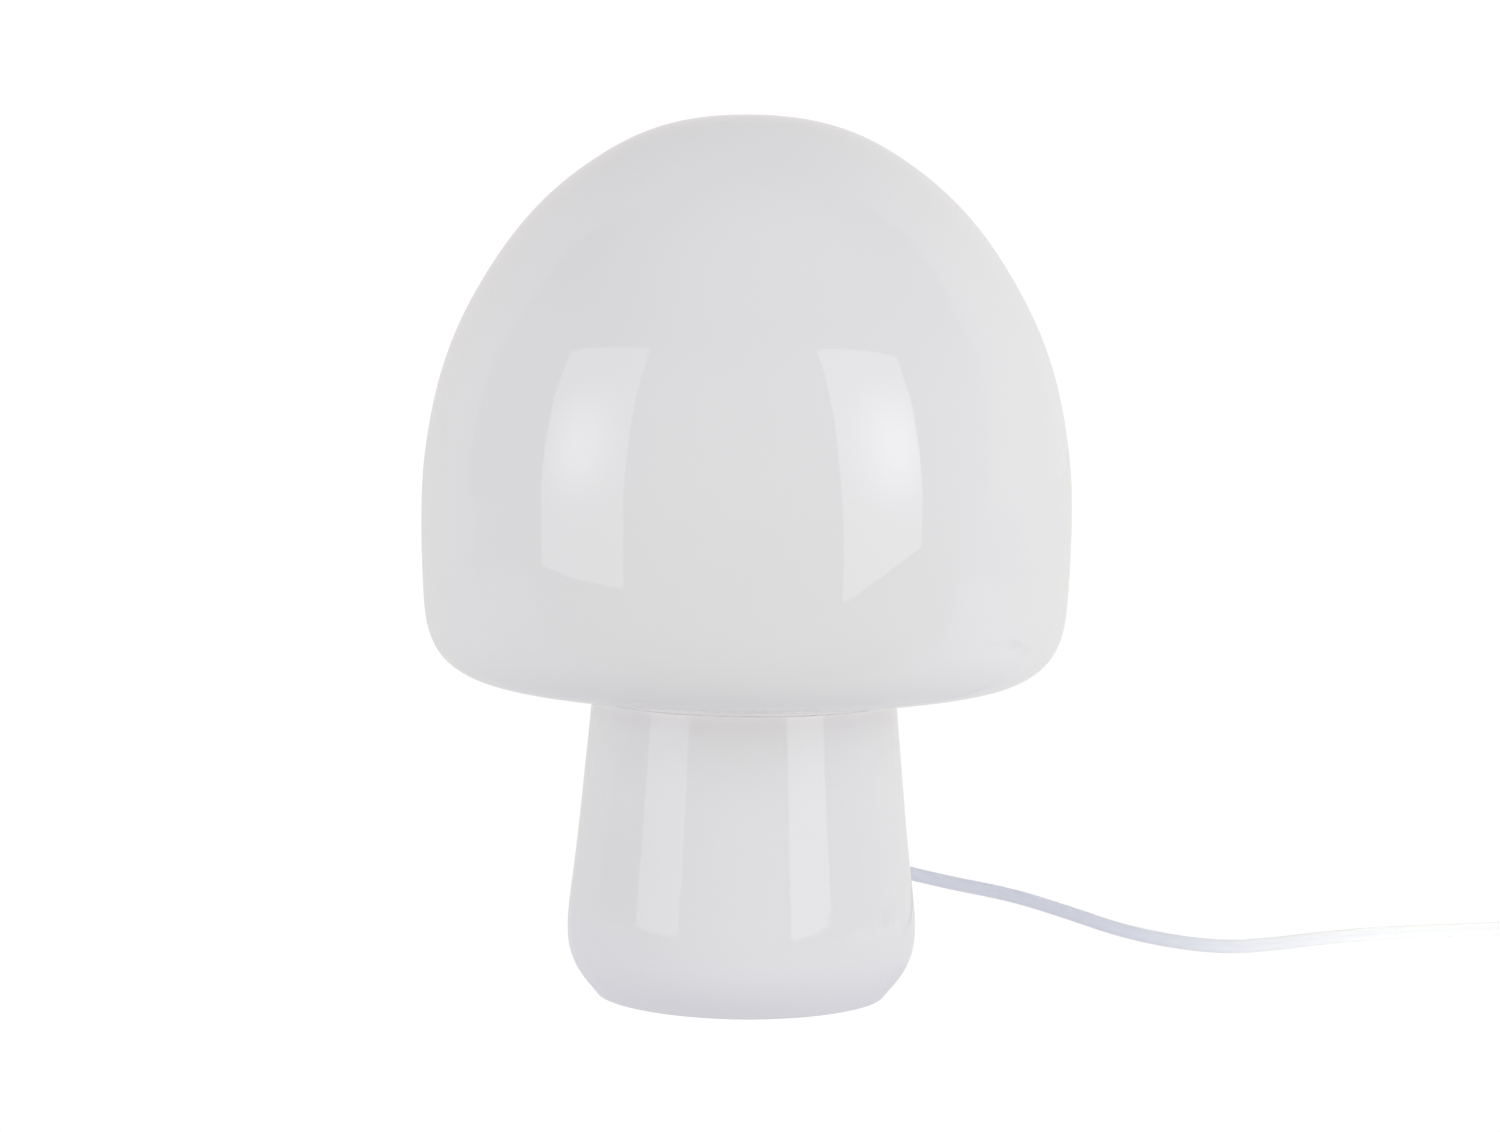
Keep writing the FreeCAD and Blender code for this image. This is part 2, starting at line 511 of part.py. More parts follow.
# ribs that carry the lead beside its clamps
for sx in (-1, 1):
    base = base.fuse(Part.makeBox(4.0, 11.0, SWITCH_SPLIT - WALL + 0.3, V(SX + 23.0 * sx - 2.0, SY - 5.5, WALL - 0.3)).common(outer))
for (px, py) in SCREWS:
    base = base.fuse(Part.makeCylinder(3.2, SWITCH_SPLIT - 1.0, V(px, py, 1.0)).common(outer))
for (px, py) in SCREWS:
    base = base.cut(Part.makeCylinder(1.45, 20, V(px, py, -1)))
    base = base.cut(Part.makeCylinder(2.6, 2.6, V(px, py, -0.1)))
base = base.cut(channel(CORD_R + 0.05, X0 - 1, X0 + 12)).cut(channel(CORD_R + 0.05, X1 - 12, X1 + 1))
base = base.removeSplitter()
save("switch_base", base)

WIN_L, WIN_W = 11.5, 6.2        # half sizes of the rocker's window
PIVOT_Z = 12.6
cover = outer.cut(cavity).common(upper_half)
for sy in (-1, 1):
    cover = cover.fuse(Part.makeBox(7.0, 2.2, SWITCH_H - WALL - 9.6 + 0.3, V(SX - 3.5, SY + sy * (WIN_W + 1.1) - 1.1, 9.6)))
for (px, py) in SCREWS:
    cover = cover.fuse(Part.makeCylinder(3.2, SWITCH_H - WALL - SWITCH_SPLIT + 0.3, V(px, py, SWITCH_SPLIT)).common(outer))
window = rounded_box(2 * WIN_L, 2 * WIN_W, 6.0, (SX, SY), SWITCH_H - 4.0, 1.2)
cover = cover.cut(window)
for (px, py) in SCREWS:
    cover = cover.cut(Part.makeCylinder(1.0, 5.6, V(px, py, SWITCH_SPLIT - 0.1)))
cover = cover.cut(Part.makeCylinder(1.25, 20, V(SX, SY - 10, PIVOT_Z), V(0, 1, 0)).common(
    Part.makeBox(10, 2 * (WIN_W + 2.0), 10, V(SX - 5, SY - WIN_W - 2.0, 8))))
cover = cover.cut(channel(CORD_R + 0.05, X0 - 1, X0 + 12)).cut(channel(CORD_R + 0.05, X1 - 12, X1 + 1))
cover = cover.removeSplitter()
save("switch_cover", cover)

# rocker: two flats meeting in a shallow valley, on two trunnions
RL, RW = 10.6, 5.85
rk = [(-RL, 10.2), (RL, 10.2), (RL, 16.9), (RL - 0.5, 17.3), (0.0, 15.9), (-RL + 0.5, 17.3), (-RL, 16.9)]
f = Part.Face(Part.Wire(polyline([(SX + x, SY - RW, zz) for x, zz in rk] + [(SX + rk[0][0], SY - RW, rk[0][1])])))
rocker = f.extrude(V(0, 2 * RW, 0))
hollow = Part.makeBox(2 * (RL - 1.3), 2 * (RW - 1.3), 3.9, V(SX - RL + 1.3, SY - RW + 1.3, 10.1))
rocker = rocker.cut(hollow)
rocker = rocker.fuse(Part.makeCylinder(2.4, 4.6, V(SX, SY, 10.0)))
rocker = rocker.fuse(Part.makeCylinder(1.2, 2 * (WIN_W + 1.7), V(SX, SY - WIN_W - 1.7, PIVOT_Z), V(0, 1, 0)))
rocker = rocker.cut(Part.makeCylinder(1.55, 3.6, V(SX, SY, 9.9)))
rocker = rocker.removeSplitter()
# sprung plunger that rides in the rocker and leans on the blade
plunger = lathe([(0, 5.95), (0.7, 6.05), (1.2, 6.5), (1.5, 7.1), (1.5, 12.9), (0, 12.9)])
plunger.translate(V(SX, SY, 0))
for s_, nm in ((rocker, "switch_rocker"), (plunger, "switch_plunger")):
    s_.rotate(V(SX, SY, PIVOT_Z), V(0, 1, 0), -ROCKER_TILT)
    save(nm, s_)

# contact blade: a see-saw strip whose formed groove rides on a rounded edge
BP = 5.3
GROOVE_R, EDGE_R = 0.30, 0.25
blade = Part.makeBox(15.0, 3.6, 0.5, V(SX - 7.5, SY - 1.8, BP))
for sx in (-1, 1):
    blade = blade.fuse(Part.makeBox(1.2, 3.6, 0.9, V(SX + sx * 6.9 - 0.6, SY - 1.8, BP)))
blade = blade.cut(Part.makeCylinder(GROOVE_R, 6.0, V(SX, SY - 3.0, BP), V(0, 1, 0))).removeSplitter()
blade.rotate(V(SX, SY, BP), V(0, 1, 0), BLADE_TILT)
save("switch_blade", blade)
ZF = WALL + 0.02
pivot_post = Part.Face(Part.Wire(polyline([
    (SX - 1.6, SY - 1.8, ZF), (SX + 1.6, SY - 1.8, ZF), (SX + 1.6, SY - 1.8, 3.4), (SX + EDGE_R, SY - 1.8, BP - 0.6), (SX + EDGE_R, SY - 1.8, BP),
    (SX - EDGE_R, SY - 1.8, BP), (SX - EDGE_R, SY - 1.8, BP - 0.6), (SX - 1.6, SY - 1.8, 3.4), (SX - 1.6, SY - 1.8, ZF)]))).extrude(V(0, 3.6, 0))
pivot_post = pivot_post.fuse(Part.makeCylinder(EDGE_R, 3.6, V(SX, SY - 1.8, BP), V(0, 1, 0)))
pivot_post = pivot_post.fuse(Part.makeBox(17.0, 3.6, 0.8, V(SX, SY - 1.8, ZF)))
pivot_post = pivot_post.fuse(Part.makeBox(3.6, 3.6, 2.6, V(SX + 13.4, SY - 1.8, ZF))).removeSplitter()
fixed = Part.makeBox(2.2, 3.6, 4.48 - ZF, V(SX - 8.0, SY - 1.8, ZF))
fixed = fixed.fuse(Part.makeBox(9.4, 3.6, 0.8, V(SX - 17.0, SY - 1.8, ZF)))
fixed = fixed.fuse(Part.makeBox(3.6, 3.6, 2.6, V(SX - 17.0, SY - 1.8, ZF))).removeSplitter()
link = Part.makeBox(32.0, 2.0, 1.4, V(SX - 16.0, SY - 8.0, ZF))
for sx in (-1, 1):
    link = link.fuse(Part.makeBox(3.6, 3.4, 2.6, V(SX + sx * 15.0 - 1.8, SY - 8.7, ZF)))
link = link.removeSplitter()
save("switch_terminals", Part.makeCompound([pivot_post, fixed, link]))

tsc = []
for (px, py) in ((SX + 15.2, SY), (SX - 15.2, SY), (SX + 15.0, SY - 7.0), (SX - 15.0, SY - 7.0)):
    s_ = Part.makeCylinder(1.3, 1.2, V(px, py, ZF + 2.6))
    s_ = s_.cut(Part.makeBox(4, 0.4, 0.6, V(px - 2, py - 0.2, ZF + 3.3)))
    tsc.append(s_)
save("switch_terminal_screws", Part.makeCompound(tsc))

case_screws = []
for (px, py) in SCREWS:
    s_ = Part.makeCylinder(0.95, 9.4, V(px, py, 2.5)).fuse(Part.makeCylinder(2.3, 1.5, V(px, py, 1.0))).removeSplitter()
    s_ = s_.cut(Part.makeBox(5.0, 0.6, 0.7, V(px - 2.5, py - 0.3, 0.9))).cut(Part.makeBox(0.6, 5.0, 0.7, V(px - 0.3, py - 2.5, 0.9)))
    case_screws.append(s_)
save("switch_screws", Part.makeCompound(case_screws))

clamps = []
for sx in (-1, 1):
    s_ = Part.makeBox(3.6, 10.6, 3.2, V(SX + 23.0 * sx - 1.8, SY - 5.3, SWITCH_SPLIT + 0.05))
    s_ = s_.cut(channel(CORD_R + 0.03, SX + 23 * sx - 4, SX + 23 * sx + 4))
    clamps.append(s_)
save("switch_clamps", Part.makeCompound(clamps))

# ================================================================= PLUG
PZ = 6.85
face_y = COIL_Y - 58.3 - 22.0 - 32.0
boot_y = face_y + 32.0


def plug_prism(y0, y1, w0, w1, h0, h1, cham):
    """Loft between two chamfered rectangles in planes of constant Y."""
    wires = []
    for yy, w, h in ((y0, w0, h0), (y1, w1, h1)):
        c_ = min(cham, h / 2.2)
        pts = [(-w / 2 + c_, -h / 2), (w / 2 - c_, -h / 2), (w / 2, -h / 2 + c_), (w / 2, h / 2 - c_), (w / 2 - c_, h / 2),
               (-w / 2 + c_, h / 2), (-w / 2, h / 2 - c_), (-w / 2, -h / 2 + c_)]
        pts = [(PLUG_X + x, yy, PZ + zz) for x, zz in pts]
        wires.append(Part.Wire(polyline(pts + [pts[0]])))
    return Part.makeLoft(wires, True, True)


body = plug_prism(face_y, face_y + 15.0, 35.0, 35.0, 13.7, 13.7, 3.4)
body = body.fuse(plug_prism(face_y + 15.0, boot_y, 35.0, 13.0, 13.7, 11.6, 3.2))
boot = Part.makeCone(5.0, 3.2, 22.0, V(PLUG_X, boot_y, PZ), V(0, 1, 0))
for i in range(6):
    yb = boot_y + 3.0 + 3.0 * i
    rr = 5.0 - 1.8 * (yb - boot_y) / 22.0
    boot = boot.cut(Part.makeCylinder(rr + 1, 1.1, V(PLUG_X, yb, PZ), V(0, 1, 0)).cut(
        Part.makeCylinder(rr - 0.55, 3, V(PLUG_X, yb - 1, PZ), V(0, 1, 0))))
body = body.fuse(boot)
pins, sleeves = [], []
for sx in (-1, 1):
    px = PLUG_X + sx * PIN_PITCH / 2
    tip_c = Part.makeCylinder(PIN_R, 9.0, V(px, face_y - 19.0, PZ), V(0, 1, 0))
    es = [e for e in tip_c.Edges if abs(e.BoundBox.YMin - (face_y - 19.0)) < 1e-6 and abs(e.BoundBox.YMax - (face_y - 19.0)) < 1e-6]
    tip_c = tip_c.makeFillet(1.2, es)
    core_p = Part.makeCylinder(1.4, 16.0, V(px, face_y - 10.0, PZ), V(0, 1, 0))
    pins.append(tip_c.fuse(core_p).removeSplitter())
    sleeves.append(Part.makeCylinder(SLEEVE_R, 10.0, V(px, face_y - 10.0, PZ), V(0, 1, 0)).cut(
        Part.makeCylinder(1.4, 12.0, V(px, face_y - 11.0, PZ), V(0, 1, 0))))
# the pins' roots are moulded into the body
for p in pins:
    body = body.cut(p)
for s_ in sleeves:
    body = body.cut(s_)
body = body.removeSplitter()
save("plug_body", body)
save("plug_pins", Part.makeCompound(pins))
save("plug_pin_sleeves", Part.makeCompound(sleeves))
print("plug face y %.2f  pins to %.2f" % (face_y, face_y - 19.0))
print("lead %.1f rear %.1f tail %.1f" % (lead_len, rear_len, tail_len))
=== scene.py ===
"""Looks of a small opal glass table lamp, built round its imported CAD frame. Metres, +Z up."""
import json
import math

import bmesh
import bpy
import numpy as np
from mathutils import Matrix, Vector


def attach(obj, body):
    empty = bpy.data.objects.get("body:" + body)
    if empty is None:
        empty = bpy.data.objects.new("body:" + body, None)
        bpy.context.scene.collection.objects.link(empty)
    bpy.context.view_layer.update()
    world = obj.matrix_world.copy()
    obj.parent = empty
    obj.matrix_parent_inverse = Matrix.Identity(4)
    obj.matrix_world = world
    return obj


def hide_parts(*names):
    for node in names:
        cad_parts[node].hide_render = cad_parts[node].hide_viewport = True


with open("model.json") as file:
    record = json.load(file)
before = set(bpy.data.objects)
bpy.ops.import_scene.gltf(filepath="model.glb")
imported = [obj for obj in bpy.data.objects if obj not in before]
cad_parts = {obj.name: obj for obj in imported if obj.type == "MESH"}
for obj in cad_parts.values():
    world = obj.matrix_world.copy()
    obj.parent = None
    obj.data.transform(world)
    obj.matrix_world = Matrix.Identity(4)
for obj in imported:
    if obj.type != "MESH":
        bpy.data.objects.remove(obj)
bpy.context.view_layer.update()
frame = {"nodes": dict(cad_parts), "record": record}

NODES = frame["nodes"]
MM = 0.001
scene = bpy.context.scene
scene.view_settings.view_transform = "Standard"
scene.view_settings.look = "None"
scene.view_settings.exposure = 0.0
scene.view_settings.gamma = 1.0


# ------------------------------------------------------------------ camera
cam_data = bpy.data.cameras.new("camera")
cam_data.sensor_fit = "HORIZONTAL"
cam_data.sensor_width = 36.0
cam_data.lens = 36.0 * 4117.0 / 1500.0
cam_data.clip_start, cam_data.clip_end = 0.05, 30.0
camera = bpy.data.objects.new("camera", cam_data)
scene.collection.objects.link(camera)
pitch, roll = math.radians(5.07), math.radians(0.75)
camera.matrix_world = (
    Matrix.Translation((0.00123, -1.265, 0.2461))
    @ Matrix.Rotation(math.radians(90.0) - pitch, 4, "X")
    @ Matrix.Rotation(roll, 4, "Z")
)
scene.camera = camera


# ------------------------------------------------------------------ mesh helpers
def new_object(name, mesh):
    ob = bpy.data.objects.new(name, mesh)
    scene.collection.objects.link(ob)
    return ob


def smooth(ob, on=True):
    for p in ob.data.polygons:
        p.use_smooth = on
    return ob


def spline_through(points, samples, mirrored_start=False):
    """Points on a natural cubic spline through a profile, and the way along it."""
    P = np.array(points, float)
    skip = 0
    if mirrored_start:  # the profile crosses the axis level, so it goes on on the other side
        P = np.vstack([P[1:4][::-1] * [-1, 1], P])
        skip = 3
    t = np.concatenate([[0], np.cumsum(np.linalg.norm(np.diff(P, axis=0), axis=1))])
    n, h = len(P), np.diff(t)
    A, b = np.eye(n), np.zeros((n, 2))
    for i in range(1, n - 1):
        A[i, i - 1], A[i, i], A[i, i + 1] = h[i - 1], 2 * (h[i - 1] + h[i]), h[i]
        b[i] = 6 * ((P[i + 1] - P[i]) / h[i] - (P[i] - P[i - 1]) / h[i - 1])
    M = np.linalg.solve(A, b)
    u = np.linspace(t[skip], t[-1], samples)
    k = np.clip(np.searchsorted(t, u, side="right") - 1, 0, n - 2)
    d, e, w = u - t[k], t[k + 1] - u, h[k]
    Q = (
        (M[k].T * e**3 + M[k + 1].T * d**3) / (6 * w)
        + (P[k].T / w - M[k].T * w / 6) * e
        + (P[k + 1].T / w - M[k + 1].T * w / 6) * d
    ).T
    if mirrored_start:
        Q[0] = [0.0, P[3, 1]]
    return Q


def offset_profile(Q, by):
    """A profile moved towards the axis side by a distance."""
    D = np.gradient(Q, axis=0)
    D /= np.linalg.norm(D, axis=1, keepdims=True)
    return Q + np.stack([D[:, 1], -D[:, 0]], 1) * by


def lathe_mesh(name, outline, around, wave=None, closed=True):
    """A solid of revolution from a closed outline of (radius, height) in mm. wave(angle, index, r, z) moves a point along (dr, dz)."""
    bm = bmesh.new()
    rings = []
    for i, (r, z) in enumerate(outline):
        if r < 1e-6:
            rings.append([bm.verts.new((0, 0, z * MM))])
            continue
        ring = []
        for j in range(around):
            a = 2 * math.pi * j / around
            dr, dz = wave(a, i, r, z) if wave else (0.0, 0.0)
            ring.append(bm.verts.new(((r + dr) * math.cos(a) * MM, (r + dr) * math.sin(a) * MM, (z + dz) * MM)))
        rings.append(ring)
    pairs = list(zip(rings, rings[1:]))
    if closed:
        pairs.append((rings[-1], rings[0]))
    for A, B in pairs:
        if len(A) == 1 and len(B) == 1:
            continue
        for j in range(around):
            k = (j + 1) % around
            if len(A) == 1:
                bm.faces.new((A[0], B[k], B[j]))
            elif len(B) == 1:
                bm.faces.new((A[j], A[k], B[0]))
            else:
                bm.faces.new((A[j], A[k], B[k], B[j]))
    bmesh.ops.recalc_face_normals(bm, faces=bm.faces)
    me = bpy.data.meshes.new(name)
    bm.to_mesh(me)
    bm.free()
    return smooth(new_object(name, me))


# ------------------------------------------------------------------ the lead
LEAD_ROUTE = [
    (0.0, 77.6, 27.8), (0.0, 93.0, 27.8), (8.0, 105.9, 27.3), (19.6, 112.8, 26.4), (34.1, 113.8, 24.7),
    (50.8, 110.4, 22.0), (69.0, 104.5, 18.7), (90.0, 97.6, 16.0), (108.5, 90.4, 11.5), (126.0, 83.8, 6.6),
    (146.0, 79.2, 3.5), (163.3, 80.0, 2.27), (179.3, 89.1, 2.27), (198.3, 102.1, 2.27), (222.3, 113.1, 2.26),
    (249.3, 119.8, 2.27), (268.0, 124.8, 2.8), (280.0, 126.0, 5.9), (288.0, 126.02, 6.5), (299.0, 126.0, 6.5)]
REAR_ROUTE = [(343.0, 126.0, 6.5), (354.0, 126.0, 6.5), (361.0, 126.0, 4.9), (370.0, 126.05, 3.0), (382.0, 126.0, 2.87)]
COIL_X, COIL_Y = 390.0, 96.3
TAIL_ROUTE = [
    (COIL_X + 25.1, COIL_Y - 5.0, 15.6), (COIL_X + 24.9, COIL_Y - 15.0, 15.7), (COIL_X + 23.8, COIL_Y - 26.0, 13.4),
    (COIL_X + 22.0, COIL_Y - 37.5, 9.7), (411.0, COIL_Y - 48.8, 6.85), (411.0, COIL_Y - 58.3, 6.85)]
CORD_R = 2.25

# the coil's turns lie in slots (radius, height), three beside each other, three on them, two and a last one on top;
# each change of slot starts a little before the one under it, so that no two turns meet
SLOTS = [(29.75, 2.85), (25.2, 2.85), (20.7, 2.85), (20.7, 7.36), (25.2, 7.36), (29.75, 7.36), (27.5, 11.5), (22.8, 11.5), (25.2, 15.45)]
CHANGES = [(268, 345), (628, 705), (965, 1045), (1302, 1382), (1662, 1742), (1996, 2070), (2330, 2406), (2616, 2708)]
BOWS = [(0, 0)] * 5 + [(0.35, 0.3), (0, 0.45), (-0.2, 0.25)]


def coil_slot(phi):
    r, z = SLOTS[0]
    for (a, b), (r1, z1), (br, bz) in zip(CHANGES, SLOTS[1:], BOWS):
        if phi <= a:
            break
        t = min(1.0, (phi - a) / (b - a))
        t = t * t * (3 - 2 * t)
        w = 4 * t * (1 - t)
        r, z = r + (r1 - r) * t + br * w, z + (z1 - z) * t + bz * w
        if phi < b:
            break
    return r, z


def coil_turns():
    out = []
    for phi in [22.5 * j for j in range(129)] + [2905.3, 2930.6, 2955.9]:
        step = 22.5 if phi <= 2880 else 25.3
        r, z = coil_slot(phi)
        a = math.radians(phi)
        r += 0.07 * math.sin(2.3 * a + 0.7) + 0.05 * math.sin(1.83 * a + 1.9)
        r /= 0.75 + 0.25 * math.cos(math.radians(step))
        out.append((COIL_X + r * math.sin(a), COIL_Y + r * math.cos(a), z))
    return out


def line_of(name, points):
    """The smooth line of a route, whose points are a NURBS spline's control points."""
    cu = bpy.data.curves.new(name, "CURVE")
    cu.dimensions = "3D"
    cu.resolution_u = 12
    sp = cu.splines.new("NURBS")
    sp.points.add(len(points) - 1)
    for q, p in zip(sp.points, points):
        q.co = (p[0] * MM, p[1] * MM, p[2] * MM, 1.0)
    sp.order_u = 3
    sp.use_endpoint_u = True
    ob = bpy.data.objects.new(name, cu)
    me = bpy.data.meshes.new_from_object(ob)
    line = [v.co.copy() for v in me.vertices]
    bpy.data.meshes.remove(me)
    bpy.data.objects.remove(ob)
    bpy.data.curves.remove(cu)
    return line


def tube(name, line, radius, around=20):
    """A round tube along a line. Its UV is (way along in girths, way round)."""
    bm = bmesh.new()
    uv = bm.loops.layers.uv.new("UVMap")
    girth = 2 * math.pi * radius
    side, last, way, rings, ways = None, None, 0.0, [], []
    for i, p in enumerate(line):
        d = (line[min(i + 1, len(line) - 1)] - line[max(i - 1, 0)]).normalized()
        if side is None:
            side = d.cross(Vector((0, 0, 1))).normalized()
        side = (side - d * side.dot(d)).normalized()
        up = d.cross(side)
        if last is not None:
            way += (p - last).length
        last = p
        rings.append([bm.verts.new(p + (side * math.cos(2 * math.pi * j / around) + up * math.sin(2 * math.pi * j / around)) * radius) for j in range(around)])
        ways.append(way / girth)
    for i in range(len(rings) - 1):
        for j in range(around):
            k = (j + 1) % around
            f = bm.faces.new((rings[i][j], rings[i][k], rings[i + 1][k], rings[i + 1][j]))
            for loop, (u, v) in zip(f.loops, ((ways[i], j), (ways[i], j + 1), (ways[i + 1], j + 1), (ways[i + 1], j))):
                loop[uv].uv = (u, v / around)
    bm.faces.new(rings[0])
    bm.faces.new(rings[-1])
    bmesh.ops.recalc_face_normals(bm, faces=bm.faces)
    me = bpy.data.meshes.new(name)
    bm.to_mesh(me)
    bm.free()
    return smooth(new_object(name, me))


lead_line = line_of("lead_line", LEAD_ROUTE)
rest_line = line_of("rest_line", REAR_ROUTE + coil_turns() + TAIL_ROUTE)
lead = tube("lead_to_switch", lead_line, CORD_R * MM)
rest = tube("lead_to_plug", rest_line, CORD_R * MM)


# ------------------------------------------------------------------ material helpers
def material(name, base, roughness=0.5, metallic=0.0, **sockets):
    m = bpy.data.materials.new(name)
    m.use_nodes = True
    b = m.node_tree.nodes["Principled BSDF"]
    b.inputs["Base Color"].default_value = (*base, 1.0)
    b.inputs["Roughness"].default_value = roughness
    b.inputs["Metallic"].default_value = metallic
    for key, value in sockets.items():
        b.inputs[key.replace("_", " ")].default_value = value
    return m


class Graph:
    """Short names for making a material's nodes."""

    def __init__(self, m):
        self.t = m.node_tree
        self.bsdf = self.t.nodes["Principled BSDF"]

    def node(self, kind, **settings):
        n = self.t.nodes.new(kind)
        for k, v in settings.items():
            setattr(n, k, v)
        return n

    def link(self, a, b):
        self.t.links.new(a, b)
        return b

    def put(self, socket, value):
        if isinstance(value, (int, float)):
            socket.default_value = value
        elif isinstance(value, tuple):
            socket.default_value = value
        else:
            self.t.links.new(value, socket)

    def math(self, op, a, b=None, c=None, clamp=False):
        n = self.node("ShaderNodeMath", operation=op, use_clamp=clamp)
        for s, v in zip(n.inputs, (a, b, c)):
            if v is not None:
                self.put(s, v)
        return n.outputs[0]

    def coords(self, which="Object"):
        return self.node("ShaderNodeTexCoord").outputs[which]

    def noise(self, scale, detail=2.0, rough=0.5, vector=None, distortion=0.0):
        n = self.node("ShaderNodeTexNoise")
        n.inputs["Scale"].default_value = scale
        n.inputs["Detail"].default_value = detail
        n.inputs["Roughness"].default_value = rough
        n.inputs["Distortion"].default_value = distortion
        self.link(vector if vector is not None else self.coords(), n.inputs["Vector"])
        return n.outputs["Fac"]

    def span(self, value, a, b, lo=0.0, hi=1.0, kind="LINEAR"):
        n = self.node("ShaderNodeMapRange", interpolation_type=kind)
        for s, v in zip(n.inputs[:5], (value, a, b, lo, hi)):
            self.put(s, v)
        return n.outputs[0]

    def mix(self, fac, a, b):
        n = self.node("ShaderNodeMix", data_type="RGBA")
        self.put(n.inputs[0], fac)
        self.put(n.inputs[6], (*a, 1.0) if isinstance(a, tuple) and len(a) == 3 else a)
        self.put(n.inputs[7], (*b, 1.0) if isinstance(b, tuple) and len(b) == 3 else b)
        return n.outputs[2]

    def bump(self, height, distance, strength=1.0, under=None):
        n = self.node("ShaderNodeBump")
        n.inputs["Strength"].default_value = strength
        n.inputs["Distance"].default_value = distance
        self.link(height, n.inputs["Height"])
        if under is not None:
            self.link(under, n.inputs["Normal"])
        return n.outputs["Normal"]


def moulded(name, base, roughness, grain=0.00004, grain_size=2600.0, vary=0.012, **sockets):
    """Moulded or pressed stuff: a fine grain, a little unevenness in gloss and tone."""
    m = material(name, base, roughness, **sockets)
    g = Graph(m)
    tone = g.noise(60.0, 3.0)
    dark = tuple(max(0.0, c * (1 - 3 * vary)) for c in base)
    g.link(g.mix(g.span(tone, 0.3, 0.7), dark, base), g.bsdf.inputs["Base Color"])
    g.link(g.span(g.noise(240.0, 3.0), 0.3, 0.7, roughness * 0.94, min(1.0, roughness * 1.08)), g.bsdf.inputs["Roughness"])
    g.link(g.bump(g.noise(grain_size, 2.0), grain), g.bsdf.inputs["Normal"])
    return m


def metal(name, base, roughness, brushed=None, scratch=0.00001):
    """Bare metal with fine drawn or stamped marks and duller patches."""
    m = material(name, base, roughness, metallic=1.0)
    g = Graph(m)
    dull = tuple(c * 0.82 for c in base)
    g.link(g.mix(g.span(g.noise(180.0, 4.0), 0.35, 0.75), base, dull), g.bsdf.inputs["Base Color"])
    g.link(g.span(g.noise(420.0, 3.0), 0.3, 0.7, roughness * 0.7, min(1.0, roughness * 1.5)), g.bsdf.inputs["Roughness"])
    mp = g.node("ShaderNodeMapping")
    g.link(g.coords(), mp.inputs["Vector"])
    mp.inputs["Scale"].default_value = brushed or (1.0, 1.0, 1.0)
    g.link(g.bump(g.noise(1500.0, 2.0, vector=mp.outputs[0]), scratch), g.bsdf.inputs["Normal"])
    return m


# ------------------------------------------------------------------ materials
def opal_glass(name="opal_glass", ripples=False):
    m = material(name, (0.79, 0.79, 0.79), 0.007, IOR=1.5)
    g = Graph(m)
    # the milk in the glass is a little uneven, and a few small seeds lie near the skin
    cloud = g.span(g.noise(14.0, 3.0, 0.45), 0.3, 0.7)
    base = g.mix(cloud, (0.783, 0.783, 0.786), (0.796, 0.796, 0.798))
    v = g.node("ShaderNodeTexVoronoi", feature="F1")
    v.inputs["Scale"].default_value = 42.0
    g.link(g.coords(), v.inputs["Vector"])
    rare = g.node("ShaderNodeSeparateColor")
    g.link(v.outputs["Color"], rare.inputs[0])
    seed = g.math("MULTIPLY", g.span(v.outputs["Distance"], 0.010, 0.022, 1.0, 0.0), g.span(rare.outputs[0], 0.90, 0.91))
    base = g.mix(g.math("MULTIPLY", seed, 0.16), base, (0.53, 0.52, 0.51))
    g.link(base, g.bsdf.inputs["Base Color"])
    g.link(g.span(g.noise(26.0, 2.0), 0.3, 0.7, 0.004, 0.010), g.bsdf.inputs["Roughness"])
    skin = g.bump(g.noise(80.0, 1.5, 0.45), 0.00003)
    skin = g.bump(seed, 0.00005, under=skin)
    if ripples:
        # the glass was turned in its mould near the foot, and keeps fine ripples there
        z = g.node("ShaderNodeSeparateXYZ")
        g.link(g.coords(), z.inputs[0])
        low = g.math("MULTIPLY", g.span(z.outputs[2], 0.016, 0.028, kind="SMOOTHSTEP"), g.span(z.outputs[2], 0.040, 0.060, 1.0, 0.0, kind="SMOOTHSTEP"))
        squeezed = g.node("ShaderNodeMapping")
        g.link(g.coords(), squeezed.inputs["Vector"])
        squeezed.inputs["Scale"].default_value = (0.8, 0.8, 1.6)
        skin = g.bump(g.math("MULTIPLY", low, g.noise(230.0, 2.0, 0.5, vector=squeezed.outputs[0])), 0.00003, under=skin)
    g.link(skin, g.bsdf.inputs["Normal"])
    return m


